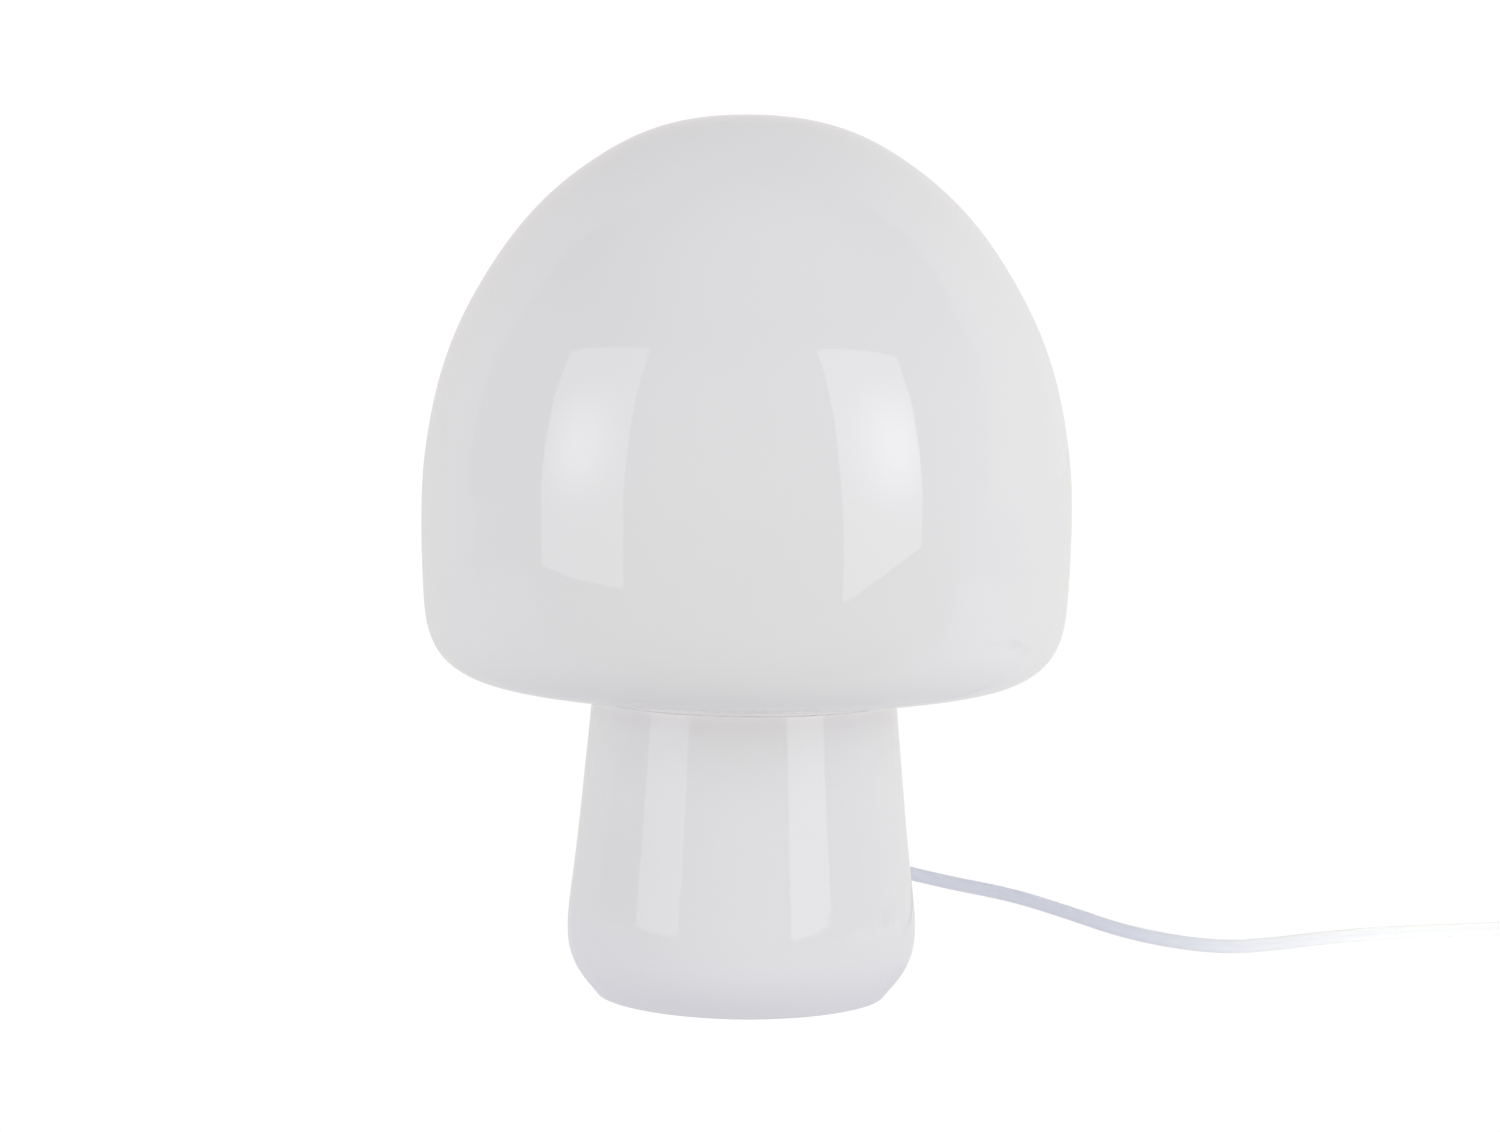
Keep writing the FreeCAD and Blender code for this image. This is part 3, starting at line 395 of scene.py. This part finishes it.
def braid():
    m = material("braid", (0.788, 0.813, 0.906), 0.85, Sheen_Weight=0.15, Sheen_Roughness=0.5)
    g = Graph(m)
    s = g.node("ShaderNodeSeparateXYZ")
    g.link(g.coords("UV"), s.inputs[0])
    u, v = g.math("MULTIPLY", s.outputs[0], 0.9), s.outputs[1]
    a = g.math("MULTIPLY", g.math("ADD", u, v), 24.0)
    b = g.math("MULTIPLY", g.math("SUBTRACT", u, v), 24.0)
    fa, fb = g.math("FRACT", a), g.math("FRACT", b)
    odd = g.math("FLOORED_MODULO", g.math("ADD", g.math("FLOOR", a), g.math("FLOOR", b)), 2.0)
    ha, hb = g.math("SINE", g.math("MULTIPLY", fa, math.pi)), g.math("SINE", g.math("MULTIPLY", fb, math.pi))
    top = g.math("ADD", g.math("MULTIPLY", odd, ha), g.math("MULTIPLY", g.math("SUBTRACT", 1.0, odd), hb))
    low = g.math("ADD", g.math("MULTIPLY", odd, hb), g.math("MULTIPLY", g.math("SUBTRACT", 1.0, odd), ha))
    # a plait is highest in its middle, and its yarns show as fine lines along it
    plait = g.math("MULTIPLY", g.math("POWER", top, 0.6), g.math("ADD", 0.45, g.math("MULTIPLY", low, 0.55)))
    across = g.math("ADD", g.math("MULTIPLY", odd, fa), g.math("MULTIPLY", g.math("SUBTRACT", 1.0, odd), fb))
    yarn = g.math("MULTIPLY", g.math("ADD", 1.0, g.math("SINE", g.math("MULTIPLY", across, 8 * math.pi))), 0.07)
    height = g.math("ADD", plait, yarn)
    # painted shade: the braid's colour follows its height, darker where the plaits and yarns dip into the crevices
    # between them and lighter on their crowns
    tone = g.mix(g.span(height, 0.25, 0.9), (0.727, 0.754, 0.859), (0.834, 0.860, 0.931))
    tone = g.mix(g.math("MULTIPLY", g.noise(900.0, 3.0), 0.35), tone, (0.783, 0.808, 0.902))
    g.link(tone, g.bsdf.inputs["Base Color"])
    g.link(g.bump(height, 0.00009), g.bsdf.inputs["Normal"])
    return m


def felt():
    m = material("felt", (0.62, 0.61, 0.59), 0.95, Sheen_Weight=0.25)
    g = Graph(m)
    f = g.noise(900.0, 6.0, 0.7, distortion=1.5)
    # painted shade: the felt is coloured darker in the hollows and lighter on the raised fibres of the same noise that
    # gives its bumps
    g.link(g.mix(g.span(f, 0.35, 0.65), (0.50, 0.49, 0.47), (0.70, 0.69, 0.67)), g.bsdf.inputs["Base Color"])
    g.link(g.bump(f, 0.00025), g.bsdf.inputs["Normal"])
    return m


def loop_tape():
    m = material("tie_fabric", (0.80, 0.80, 0.80), 0.9, Sheen_Weight=0.2)
    g = Graph(m)
    v = g.node("ShaderNodeTexVoronoi", feature="F1")
    v.inputs["Scale"].default_value = 1500.0
    g.link(g.coords(), v.inputs["Vector"])
    h = g.math("ADD", g.math("MULTIPLY", v.outputs["Distance"], 0.8), g.math("MULTIPLY", g.noise(3800.0, 4.0, 0.7, distortion=1.0), 0.5))
    g.link(g.mix(g.span(h, 0.3, 0.9), (0.84, 0.84, 0.845), (0.66, 0.66, 0.67)), g.bsdf.inputs["Base Color"])
    g.link(g.bump(h, 0.00016), g.bsdf.inputs["Normal"])
    return m


GLASS, BRAID = opal_glass(), braid()
STEM_GLASS = opal_glass("opal_glass_stem", ripples=True)
FINISH = {
    "opal_glass": GLASS,
    "felt": felt(),
    "silicone": moulded("silicone", (0.84, 0.84, 0.845), 0.38, grain=0.00002, vary=0.006),
    "white_steel": moulded("white_steel", (0.82, 0.82, 0.81), 0.34, grain=0.00003, grain_size=1400.0),
    "spring_steel": metal("spring_steel", (0.66, 0.67, 0.68), 0.24, brushed=(1.0, 1.0, 0.08)),
    "holder_plastic": moulded("holder_plastic", (0.80, 0.79, 0.76), 0.5, grain=0.00006),
    "ceramic_core": moulded("ceramic_core", (0.80, 0.775, 0.72), 0.75, grain=0.00008, grain_size=1800.0, vary=0.02),
    "brass": metal("brass", (0.78, 0.60, 0.30), 0.26),
    "zinc_screw": metal("zinc_screw", (0.70, 0.71, 0.73), 0.3),
    "wire_insulation": moulded("wire_insulation", (0.36, 0.20, 0.12), 0.42, grain=0.00002),
    "solder_tip": metal("solder_tip", (0.66, 0.66, 0.66), 0.34),
    "black_glass": moulded("black_glass", (0.022, 0.022, 0.024), 0.08, grain=0.00001, vary=0.05),
    "nickel": metal("nickel", (0.74, 0.725, 0.70), 0.16),
    "bulb_plastic": moulded("bulb_plastic", (0.84, 0.84, 0.83), 0.3, grain=0.00002),
    "board_aluminium": moulded("board_aluminium", (0.80, 0.80, 0.78), 0.45, grain=0.00003),
    "bulb_opal": moulded("bulb_opal", (0.86, 0.86, 0.85), 0.32, grain=0.000015, vary=0.006),
    "gland_nylon": moulded("gland_nylon", (0.82, 0.82, 0.82), 0.4, grain=0.00003),
    "braid": BRAID,
    "tie_fabric": loop_tape(),
    "switch_plastic": moulded("switch_plastic", (0.84, 0.84, 0.835), 0.3, grain=0.00001, grain_size=1700.0),
    "rocker_plastic": moulded("rocker_plastic", (0.855, 0.855, 0.855), 0.2, grain=0.00001),
    "plug_plastic": moulded("plug_plastic", (0.82, 0.82, 0.81), 0.42, grain=0.00005),
    "sleeve_plastic": moulded("sleeve_plastic", (0.055, 0.055, 0.058), 0.45, grain=0.00002, vary=0.03),
}
SLOT_OF = {}
for part in frame["record"]["subparts"]:
    SLOT_OF[part.get("node") or part.get("name")] = part.get("material") or part.get("material_slot") or part.get("slot")
for name, ob in NODES.items():
    finish = FINISH[SLOT_OF[name]]
    if not ob.material_slots:
        ob.data.materials.append(finish)
    for s in ob.material_slots:
        s.material = finish


# ------------------------------------------------------------------ glass
CAP_PROFILE = [
    (0, 272.3), (5.65, 272.2), (16.9, 271.1), (27.9, 268.5), (38.3, 264.15), (47.9, 258.4), (56.75, 251.8), (64.7, 244.4),
    (71.7, 236.3), (77.8, 227.7), (83.15, 218.9), (87.8, 210.0), (91.6, 200.9), (94.6, 191.6), (96.8, 182.25), (98.4, 172.9),
    (99.5, 163.6), (99.94, 154.3), (99.98, 145.0), (99.75, 135.6), (99.3, 126.05), (98.2, 116.3), (94.5, 107.4), (86.45, 100.9),
    (75.0, 97.7), (63.8, 96.0), (53.9, 94.85), (46.9, 94.0)]
STEM_PROFILE = [
    (44.6, 0.8), (46.24, 2.8), (48.71, 5.8), (51.37, 9.8), (53.30, 14.8), (54.02, 20.8), (53.95, 25), (53.48, 30), (52.2, 40.8),
    (50.57, 55.8), (49.15, 70.8), (47.74, 85.8), (47.12, 93.0)]


def blown(depth, seeds):
    """The slight unevenness of blown glass, always inwards, by less than a fifth of a millimetre."""
    def wave(a, i, r, z):
        s = 0.0
        for k, m, f, w in seeds:
            s += w * math.sin(k * a + z / m + f)
        d = -depth * (0.5 + 0.5 * s)
        return d, 0.0
    return wave


cap_out = spline_through(CAP_PROFILE, 260, mirrored_start=True)
cap_in = offset_profile(cap_out, 0)[::2].copy()
D = np.gradient(cap_out, axis=0)
D /= np.linalg.norm(D, axis=1, keepdims=True)
cap_in = (cap_out + np.stack([D[:, 1], -D[:, 0]], 1) * 3.0)[::2]
cap_in[0] = [0.0, cap_out[0, 1] - 3.0]
cap_in = cap_in[(cap_in[:, 1] > 96.9) | (cap_in[:, 0] > 60)]
cap_in = cap_in[cap_in[:, 0] >= 0]
mouth = [(46.0, 94.0), (43.0, 94.0), (40.6, 94.0), (40.15, 94.15), (40.0, 94.6), (40.0, 96.2), (40.2, 96.75), (40.8, 97.0)]
cap_outline = [tuple(q) for q in cap_out] + mouth + [tuple(q) for q in cap_in[::-1]]
CAP_SEEDS = [(2, 61.0, 0.4, 0.35), (3, 43.0, 2.1, 0.3), (5, 35.0, 4.0, 0.2), (7, 27.0, 1.2, 0.15)]
cap_glass = lathe_mesh("cap_opal", cap_outline, 360, blown(0.14, CAP_SEEDS))

stem_out = spline_through(STEM_PROFILE, 200)
D = np.gradient(stem_out, axis=0)
D /= np.linalg.norm(D, axis=1, keepdims=True)
stem_in = stem_out + np.stack([-D[:, 1], D[:, 0]], 1) * 3.5
stem_in = stem_in[(stem_in[:, 1] > 8.0) & (stem_in[:, 1] < 92.9)][::2]
stem_outline = ([(0.0, 0.8), (20.0, 0.8), (40.0, 0.8), (43.6, 0.8)] + [tuple(q) for q in stem_out[1:]]
                + [(46.6, 93.0), (44.2, 93.0), (43.63, 92.6)] + [tuple(q) for q in stem_in[::-1]] + [(44.0, 6.6), (40.0, 5.5), (20.0, 5.3), (0.0, 5.3)])
STEM_SEEDS = [(2, 37.0, 1.4, 0.35), (3, 29.0, 0.3, 0.3), (5, 21.0, 2.0, 0.2), (9, 13.0, 3.2, 0.15)]
stem_glass = lathe_mesh("stem_opal", stem_outline, 360, blown(0.1, STEM_SEEDS), closed=False)

# the drilled hole for the gland
bm = bmesh.new()
bmesh.ops.create_cone(bm, cap_ends=True, segments=64, radius1=4.5 * MM, radius2=4.5 * MM, depth=20 * MM,
                      matrix=Matrix.Translation((0, 52 * MM, 27.8 * MM)) @ Matrix.Rotation(math.radians(90), 4, "X"))
me = bpy.data.meshes.new("drill")
bm.to_mesh(me)
bm.free()
drill = new_object("drill", me)
cut = stem_glass.modifiers.new("hole", "BOOLEAN")
cut.object, cut.operation, cut.solver = drill, "DIFFERENCE", "EXACT"
bpy.context.view_layer.update()
holed = bpy.data.meshes.new_from_object(stem_glass.evaluated_get(bpy.context.evaluated_depsgraph_get()))
stem_glass.modifiers.clear()
stem_glass.data = holed
bpy.data.objects.remove(drill)
smooth(stem_glass)

for ob, body, node, finish in ((cap_glass, "cap", "cap_glass", GLASS), (stem_glass, "lamp_base", "stem_glass", STEM_GLASS)):
    ob.data.materials.clear()
    ob.data.materials.append(finish)
    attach(ob, body)
    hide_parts(node)


# ------------------------------------------------------------------ the tie round the coil
COIL_SECTION = [(19.4, 0.6), (30.6, 0.6), (32.1, 2.1), (32.1, 9.0), (30.3, 13.0), (27.7, 17.0), (26.3, 17.8),
                (23.9, 17.8), (22.5, 17.0), (19.9, 13.0), (17.9, 9.0), (17.9, 2.1)]


def tie_band(name, half_deg=11.4, steps=14):
    """A tape wound once round the bundle, whose free end lies over its start on the outside."""
    P = np.array(COIL_SECTION, float)
    n = len(P)
    # walk the section's outline with its corners rounded
    loop = []
    for i in range(n):
        a, b, c = P[i - 1], P[i], P[(i + 1) % n]
        p, q = b + (a - b) * min(0.45, 1.4 / np.linalg.norm(a - b)), b + (c - b) * min(0.45, 1.4 / np.linalg.norm(c - b))
        for t in (0.0, 0.33, 0.67, 1.0):
            loop.append((1 - t) ** 2 * p + 2 * t * (1 - t) * b + t * t * q)
    loop = np.array(loop)
    start = int(np.argmax(loop[:, 0] * 1.0 - np.abs(loop[:, 1] - 6.5)))
    loop = np.roll(loop, -start, axis=0)
    m = len(loop)
    over = 9  # how many points the free end goes on for
    walk = [(loop[k % m], 0.12 + (0.0 if k < m - 3 else 0.5 * min(1.0, (k - m + 3) / 4.0))) for k in range(m + over)]
    bm = bmesh.new()
    rows = []
    for k, (p, lift) in enumerate(walk):
        nx = loop[(k + 1) % m] - loop[(k - 1) % m]
        nx = np.array([nx[1], -nx[0]]) / np.linalg.norm(nx)
        row = []
        for s in range(steps + 1):
            t = s / steps
            edge = abs(2 * t - 1)
            end = max(0.0, (k - (m + over - 4)) / 3.0)  # the free end is rounded in plan
            half = half_deg * math.sqrt(max(0.12, 1 - end * end * 0.8)) if end > 0 else half_deg
            ang = math.radians(180.0 + (2 * t - 1) * half)
            puff = 0.05 * (1 - edge**4)
            inner, outer = p + nx * (lift - 0.08), p + nx * (lift + 0.36 + puff - 0.12 * edge**6)
            row.append([bm.verts.new(((COIL_X + q[0] * math.cos(ang)) * MM, (COIL_Y + q[0] * math.sin(ang)) * MM, max(0.04, q[1]) * MM)) for q in (inner, outer)])
        rows.append(row)
    for k in range(len(rows) - 1):
        A, B = rows[k], rows[k + 1]
        for s in range(steps):
            bm.faces.new((A[s][1], A[s + 1][1], B[s + 1][1], B[s][1]))
            bm.faces.new((A[s][0], B[s][0], B[s + 1][0], A[s + 1][0]))
        bm.faces.new((A[0][0], A[0][1], B[0][1], B[0][0]))
        bm.faces.new((A[steps][1], A[steps][0], B[steps][0], B[steps][1]))
    for R in (rows[0], rows[-1]):
        for s in range(steps):
            bm.faces.new((R[s][0], R[s][1], R[s + 1][1], R[s + 1][0]))
    bmesh.ops.recalc_face_normals(bm, faces=bm.faces)
    me = bpy.data.meshes.new(name)
    bm.to_mesh(me)
    bm.free()
    return smooth(new_object(name, me))


tie = tie_band("coil_tape")
tie.data.materials.append(FINISH["tie_fabric"])
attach(tie, "lamp_base")
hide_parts("coil_tie")

for ob in (lead, rest):
    ob.data.materials.append(BRAID)
    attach(ob, "lamp_base")
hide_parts("cord_lead")
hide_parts("cord_rear", "cord_coil", "cord_tail")


# ------------------------------------------------------------------ floor, surroundings and lights
# radiances (red, green, blue) of what surrounds the lamp; azimuth 0 is towards the camera, positive to the right
GLOW = {
    "front_low_left": (0.546, 0.552, 0.575),
    "front_low_right": (0.647, 0.656, 0.698),
    "front_centre": (0.724, 0.724, 0.740),
    "front_high_left": (0.417, 0.417, 0.447),
    "front_high_right": (0.468, 0.467, 0.494),
    "left": (0.759, 0.727, 0.714),
    "right": (0.895, 0.878, 0.852),
    "top": (0.792, 0.775, 0.803),
    "floor_near": (0.653, 0.640, 0.694),
    "floor_ring_left": (0.673, 0.664, 0.702),
    "floor_ring_right": (0.732, 0.723, 0.750),
    "floor_back_left": (0.669, 0.675, 0.653),
    "floor_back_right": (0.764, 0.755, 0.726),
    "neck": (1.200, 1.100, 1.080),
    "neck_close": (1.560, 1.500, 1.510),
    "floor_left": (0.745, 0.760, 0.796),
    "floor_right": (0.931, 0.931, 0.971),
    "floor_front": (0.574, 0.571, 0.555),
    "box_left": (1.043, 1.044, 1.067),
    "box_left_hot": (1.708, 1.706, 1.689),
    "box_right": (1.278, 1.287, 1.299),
    "box_right_hot": (2.010, 2.013, 2.002),
}


class Tree:
    """Short names for making the nodes of the surroundings."""

    def __init__(self, tree, clear=True):
        self.t = tree
        if clear:
            tree.nodes.clear()

    def node(self, kind, **kw):
        n = self.t.nodes.new(kind)
        for k, v in kw.items():
            setattr(n, k, v)
        return n

    def put(self, socket, v):
        if isinstance(v, (int, float, tuple)):
            socket.default_value = v
        else:
            self.t.links.new(v, socket)

    def math(self, op, a, b=None, clamp=False):
        n = self.node("ShaderNodeMath", operation=op, use_clamp=clamp)
        self.put(n.inputs[0], a)
        if b is not None:
            self.put(n.inputs[1], b)
        return n.outputs[0]

    def ramp(self, v, a, b, lo=0.0, hi=1.0):
        n = self.node("ShaderNodeMapRange", interpolation_type="SMOOTHSTEP")
        for s, x in zip(n.inputs[:5], (v, a, b, lo, hi)):
            self.put(s, x)
        return n.outputs[0]

    def glow(self, masks):
        """The sum of named radiances, each within its mask."""
        total = None
        for name, mask in masks:
            n = self.node("ShaderNodeVectorMath", operation="SCALE", name=name, label=name)
            n.inputs[0].default_value = GLOW[name]
            self.put(n.inputs["Scale"], mask)
            if total is None:
                total = n.outputs[0]
            else:
                add = self.node("ShaderNodeVectorMath", operation="ADD")
                self.put(add.inputs[0], total)
                self.put(add.inputs[1], n.outputs[0])
                total = add.outputs[0]
        return total


def make_floor():
    me = bpy.data.meshes.new("floor")
    me.from_pydata([(-6, -6, 0), (6, -6, 0), (6, 6, 0), (-6, 6, 0)], [], [(0, 1, 2, 3)])
    ob = new_object("floor", me)
    m = bpy.data.materials.new("floor_white")
    m.use_nodes = True
    t = Tree(m.node_tree)
    sep = t.node("ShaderNodeSeparateXYZ")
    t.put(sep.inputs[0], t.node("ShaderNodeTexCoord").outputs["Object"])
    # a white sheet lies under the lamp; it ends a hand's breadth before it, a little askew, and a metre beside it
    x, y = sep.outputs[0], sep.outputs[1]
    white = t.ramp(t.math("ADD", y, t.math("MULTIPLY", t.math("ABSOLUTE", x), 0.10)), -0.150, -0.138)
    plan = t.node("ShaderNodeVectorMath", operation="LENGTH")
    t.put(plan.inputs[0], t.node("ShaderNodeTexCoord").outputs["Object"])
    away = plan.outputs["Value"]
    azimuth = t.math("MULTIPLY", t.math("ABSOLUTE", t.math("ARCTAN2", x, t.math("MULTIPLY", y, -1.0))), 180.0 / math.pi)
    past = t.math("MULTIPLY", t.ramp(away, 0.95, 1.25), t.ramp(azimuth, 104.0, 112.0, 1.0, 0.0))
    sheet = t.math("MULTIPLY", white, t.math("SUBTRACT", 1.0, past))
    past = t.math("MULTIPLY", white, past)
    far = t.math("MULTIPLY", sheet, t.ramp(away, 0.16, 0.36))
    near = t.math("SUBTRACT", sheet, far)
    ring = t.math("MULTIPLY", near, t.ramp(away, 0.066, 0.078))
    side = t.ramp(x, -0.25, 0.25)
    other = t.math("SUBTRACT", 1.0, side)
    beside = t.ramp(x, -0.08, 0.08)
    behind = t.math("MULTIPLY", far, t.ramp(y, 0.0, 0.25))
    far = t.math("SUBTRACT", far, behind)
    light, seen, path = t.node("ShaderNodeEmission"), t.node("ShaderNodeEmission"), t.node("ShaderNodeLightPath")
    t.put(light.inputs["Color"], t.glow([
        ("floor_near", t.math("SUBTRACT", near, ring)),
        ("floor_ring_left", t.math("MULTIPLY", ring, t.math("SUBTRACT", 1.0, beside))),
        ("floor_ring_right", t.math("MULTIPLY", ring, beside)),
        ("floor_left", t.math("MULTIPLY", far, other)),
        ("floor_right", t.math("MULTIPLY", far, side)),
        ("floor_back_left", t.math("MULTIPLY", behind, other)),
        ("floor_back_right", t.math("MULTIPLY", behind, side)),
        ("front_low_left", t.math("MULTIPLY", past, other)),
        ("front_low_right", t.math("MULTIPLY", past, side)),
        ("floor_front", t.math("SUBTRACT", 1.0, white)),
    ]))
    seen.inputs["Color"].default_value, seen.inputs["Strength"].default_value = (1, 1, 1, 1), 1.02
    diff = t.node("ShaderNodeBsdfDiffuse")
    diff.inputs["Color"].default_value = (0.12, 0.12, 0.12, 1)
    both, mix = t.node("ShaderNodeAddShader"), t.node("ShaderNodeMixShader")
    t.put(both.inputs[0], diff.outputs[0])
    t.put(both.inputs[1], light.outputs[0])
    t.put(mix.inputs[0], path.outputs["Is Camera Ray"])
    t.put(mix.inputs[1], both.outputs[0])
    t.put(mix.inputs[2], seen.outputs[0])
    t.put(t.node("ShaderNodeOutputMaterial").inputs[0], mix.outputs[0])
    me.materials.append(m)
    return ob


def make_world():
    world = bpy.data.worlds.new("studio")
    scene.world = world
    world.use_nodes = True
    t = Tree(world.node_tree)
    sep = t.node("ShaderNodeSeparateXYZ")
    t.put(sep.inputs[0], t.node("ShaderNodeTexCoord").outputs["Generated"])
    azimuth = t.math("MULTIPLY", t.math("ARCTAN2", sep.outputs[0], t.math("MULTIPLY", sep.outputs[1], -1.0)), 180.0 / math.pi)
    height = t.math("MULTIPLY", t.math("ARCSINE", sep.outputs[2]), 180.0 / math.pi)
    high, top = t.ramp(height, 25.0, 50.0), t.ramp(height, 36.0, 80.0)
    lean = t.math("SUBTRACT", azimuth, t.math("MULTIPLY", height, 0.45))
    behind = t.math("ADD", t.ramp(lean, 91.5, 93.5), t.ramp(azimuth, -115.6, -114.4, 1.0, 0.0))
    side = t.ramp(sep.outputs[0], -0.6, 0.6)
    other = t.math("SUBTRACT", 1.0, side)
    rest = t.math("SUBTRACT", 1.0, top)
    front, back = t.math("MULTIPLY", t.math("SUBTRACT", 1.0, behind), rest), t.math("MULTIPLY", behind, rest)
    upper = t.math("MULTIPLY", front, high)
    middle = t.ramp(t.math("ABSOLUTE", azimuth), 30.0, 75.0, 1.0, 0.0)
    lower = t.math("SUBTRACT", front, upper)
    masks = [
        ("front_centre", t.math("MULTIPLY", lower, middle)),
        ("front_low_left", t.math("MULTIPLY", t.math("SUBTRACT", lower, t.math("MULTIPLY", lower, middle)), other)),
        ("front_low_right", t.math("MULTIPLY", t.math("SUBTRACT", lower, t.math("MULTIPLY", lower, middle)), side)),
        ("front_high_left", t.math("MULTIPLY", upper, other)),
        ("front_high_right", t.math("MULTIPLY", upper, side)),
        ("left", t.math("MULTIPLY", back, other)),
        ("right", t.math("MULTIPLY", back, side)),
        ("top", top),
    ]
    light, seen = t.node("ShaderNodeBackground"), t.node("ShaderNodeBackground")
    t.put(light.inputs[0], t.glow(masks))
    seen.inputs[0].default_value, seen.inputs[1].default_value = (1, 1, 1, 1), 1.02
    path, mix = t.node("ShaderNodeLightPath"), t.node("ShaderNodeMixShader")
    t.put(mix.inputs[0], path.outputs["Is Camera Ray"])
    t.put(mix.inputs[1], light.outputs[0])
    t.put(mix.inputs[2], seen.outputs[0])
    t.put(t.node("ShaderNodeOutputWorld").inputs[0], mix.outputs[0])


def softbox(name, centre, yaw, tilt, roll, width, height, hot, reach):
    """A panel facing the lamp, turned by a few degrees, evenly lit and with a brighter round middle."""
    c = Vector(centre)
    f = Vector((-c.x, -c.y, 0)).normalized()
    f = Matrix.Rotation(math.radians(yaw), 3, "Z") @ f
    a, r = math.radians(tilt), math.radians(roll)
    up = Vector((0, 0, 1))
    n, v = f * math.cos(a) - up * math.sin(a), up * math.cos(a) + f * math.sin(a)
    u = v.cross(n)
    u, v = u * math.cos(r) + v * math.sin(r), v * math.cos(r) - u * math.sin(r)
    li = bpy.data.lights.new(name, "AREA")
    li.shape, li.size, li.size_y = "RECTANGLE", width, height
    li.energy = math.pi * width * height  # so that a strength of 1 is a radiance of 1
    li.use_nodes = True
    t = Tree(li.node_tree, clear=False)
    em = li.node_tree.nodes["Emission"]
    place = t.node("ShaderNodeVectorMath", operation="SUBTRACT")
    t.put(place.inputs[0], t.node("ShaderNodeNewGeometry").outputs["Parametric"])
    place.inputs[1].default_value = (hot[0], hot[1], 0.0)
    scaled = t.node("ShaderNodeVectorMath", operation="MULTIPLY")
    t.put(scaled.inputs[0], place.outputs[0])
    scaled.inputs[1].default_value = (width / reach[0], height / reach[1], 0.0)
    far = t.node("ShaderNodeVectorMath", operation="LENGTH")
    t.put(far.inputs[0], scaled.outputs[0])
    d = far.outputs["Value"]
    bell = t.math("EXPONENT", t.math("MULTIPLY", t.math("MULTIPLY", d, d), -1.0))
    t.put(em.inputs["Color"], t.glow([(name, 1.0), (name + "_hot", bell)]))
    ob = bpy.data.objects.new(name, li)
    scene.collection.objects.link(ob)
    ob.matrix_world = Matrix.Translation(c) @ Matrix((-u, v, -n)).transposed().to_4x4()
    ob.visible_camera = False
    return ob


def neck_fill(name, radius, z, thick):
    """A faint ring of fill light under the cap's rim, where thick opal glass passes light on and never goes dark."""
    bm = bmesh.new()
    rows = []
    for i in range(64):
        a = 2 * math.pi * i / 64
        rows.append([bm.verts.new(((radius + thick * math.cos(b)) * math.cos(a), (radius + thick * math.cos(b)) * math.sin(a), z + thick * math.sin(b)))
                     for b in (0, math.pi / 2, math.pi, 3 * math.pi / 2)])
    for A, B in zip(rows, rows[1:] + rows[:1]):
        for j in range(4):
            bm.faces.new((A[j], B[j], B[(j + 1) % 4], A[(j + 1) % 4]))
    bmesh.ops.recalc_face_normals(bm, faces=bm.faces)
    me = bpy.data.meshes.new(name)
    bm.to_mesh(me)
    bm.free()
    ob = new_object(name, me)
    m = bpy.data.materials.new(name)
    m.use_nodes = True
    t = Tree(m.node_tree)
    em = t.node("ShaderNodeEmission")
    t.put(em.inputs["Color"], t.glow([(name, 1.0)]))
    t.put(t.node("ShaderNodeOutputMaterial").inputs[0], em.outputs[0])
    m.cycles.emission_sampling = "NONE"
    me.materials.append(m)
    ob.visible_camera = ob.visible_glossy = ob.visible_shadow = ob.visible_transmission = False


def lead_light(aim, far, watts, elevations, rise, fall):
    """Soft spots that shine on a stretch of the lead alone, growing along it: from above, from the camera's side, and from below."""
    only = bpy.data.collections.new("lead_alone")
    only.objects.link(lead)
    for k, elevation in enumerate(elevations):
        e = math.radians(elevation)
        span = Vector((0.0, math.cos(e), -math.sin(e)))
        li = bpy.data.lights.new("lead_light_%d" % k, "SPOT")
        li.energy, li.color = watts, (1.0, 0.93, 0.56)
        li.spot_size, li.spot_blend, li.shadow_soft_size = 2.0 * math.atan(0.22 / far), 0.2, 0.02
        li.use_nodes = True
        t = Tree(li.node_tree, clear=False)
        sep = t.node("ShaderNodeSeparateXYZ")
        t.put(sep.inputs[0], t.node("ShaderNodeTexCoord").outputs["Normal"])
        x = t.math("ADD", t.math("MULTIPLY", t.math("DIVIDE", sep.outputs[0], sep.outputs[2]), -far), aim[0])
        t.put(li.node_tree.nodes["Emission"].inputs["Strength"], t.math("MULTIPLY", t.ramp(x, *rise), t.ramp(x, *fall, 1.0, 0.0)))
        ob = bpy.data.objects.new(li.name, li)
        scene.collection.objects.link(ob)
        right = Vector((1.0, 0.0, 0.0))
        ob.matrix_world = Matrix.Translation(Vector(aim) - span * far) @ Matrix((right, right.cross(span), -span)).transposed().to_4x4()
        ob.light_linking.receiver_collection = only
        ob.light_linking.blocker_collection = only


make_floor()
make_world()
neck_fill("neck", 0.059, 0.0915, 0.001)
neck_fill("neck_close", 0.0494, 0.0935, 0.0003)
lead_light((0.200, 0.100, 0.003), 0.53, 3.8, (-80.0, 10.0, 100.0), (0.104, 0.234), (0.268, 0.286))
softbox("box_left", (-0.724, -0.445, 0.373), 23.4, 5.5, 0.3, 0.536, 0.712, (0.49, 0.455), (0.19, 0.145))
softbox("box_right", (0.628, -0.573, 0.388), -32.7, 8.0, -6.7, 0.535, 0.723, (0.61, 0.465), (0.23, 0.165))
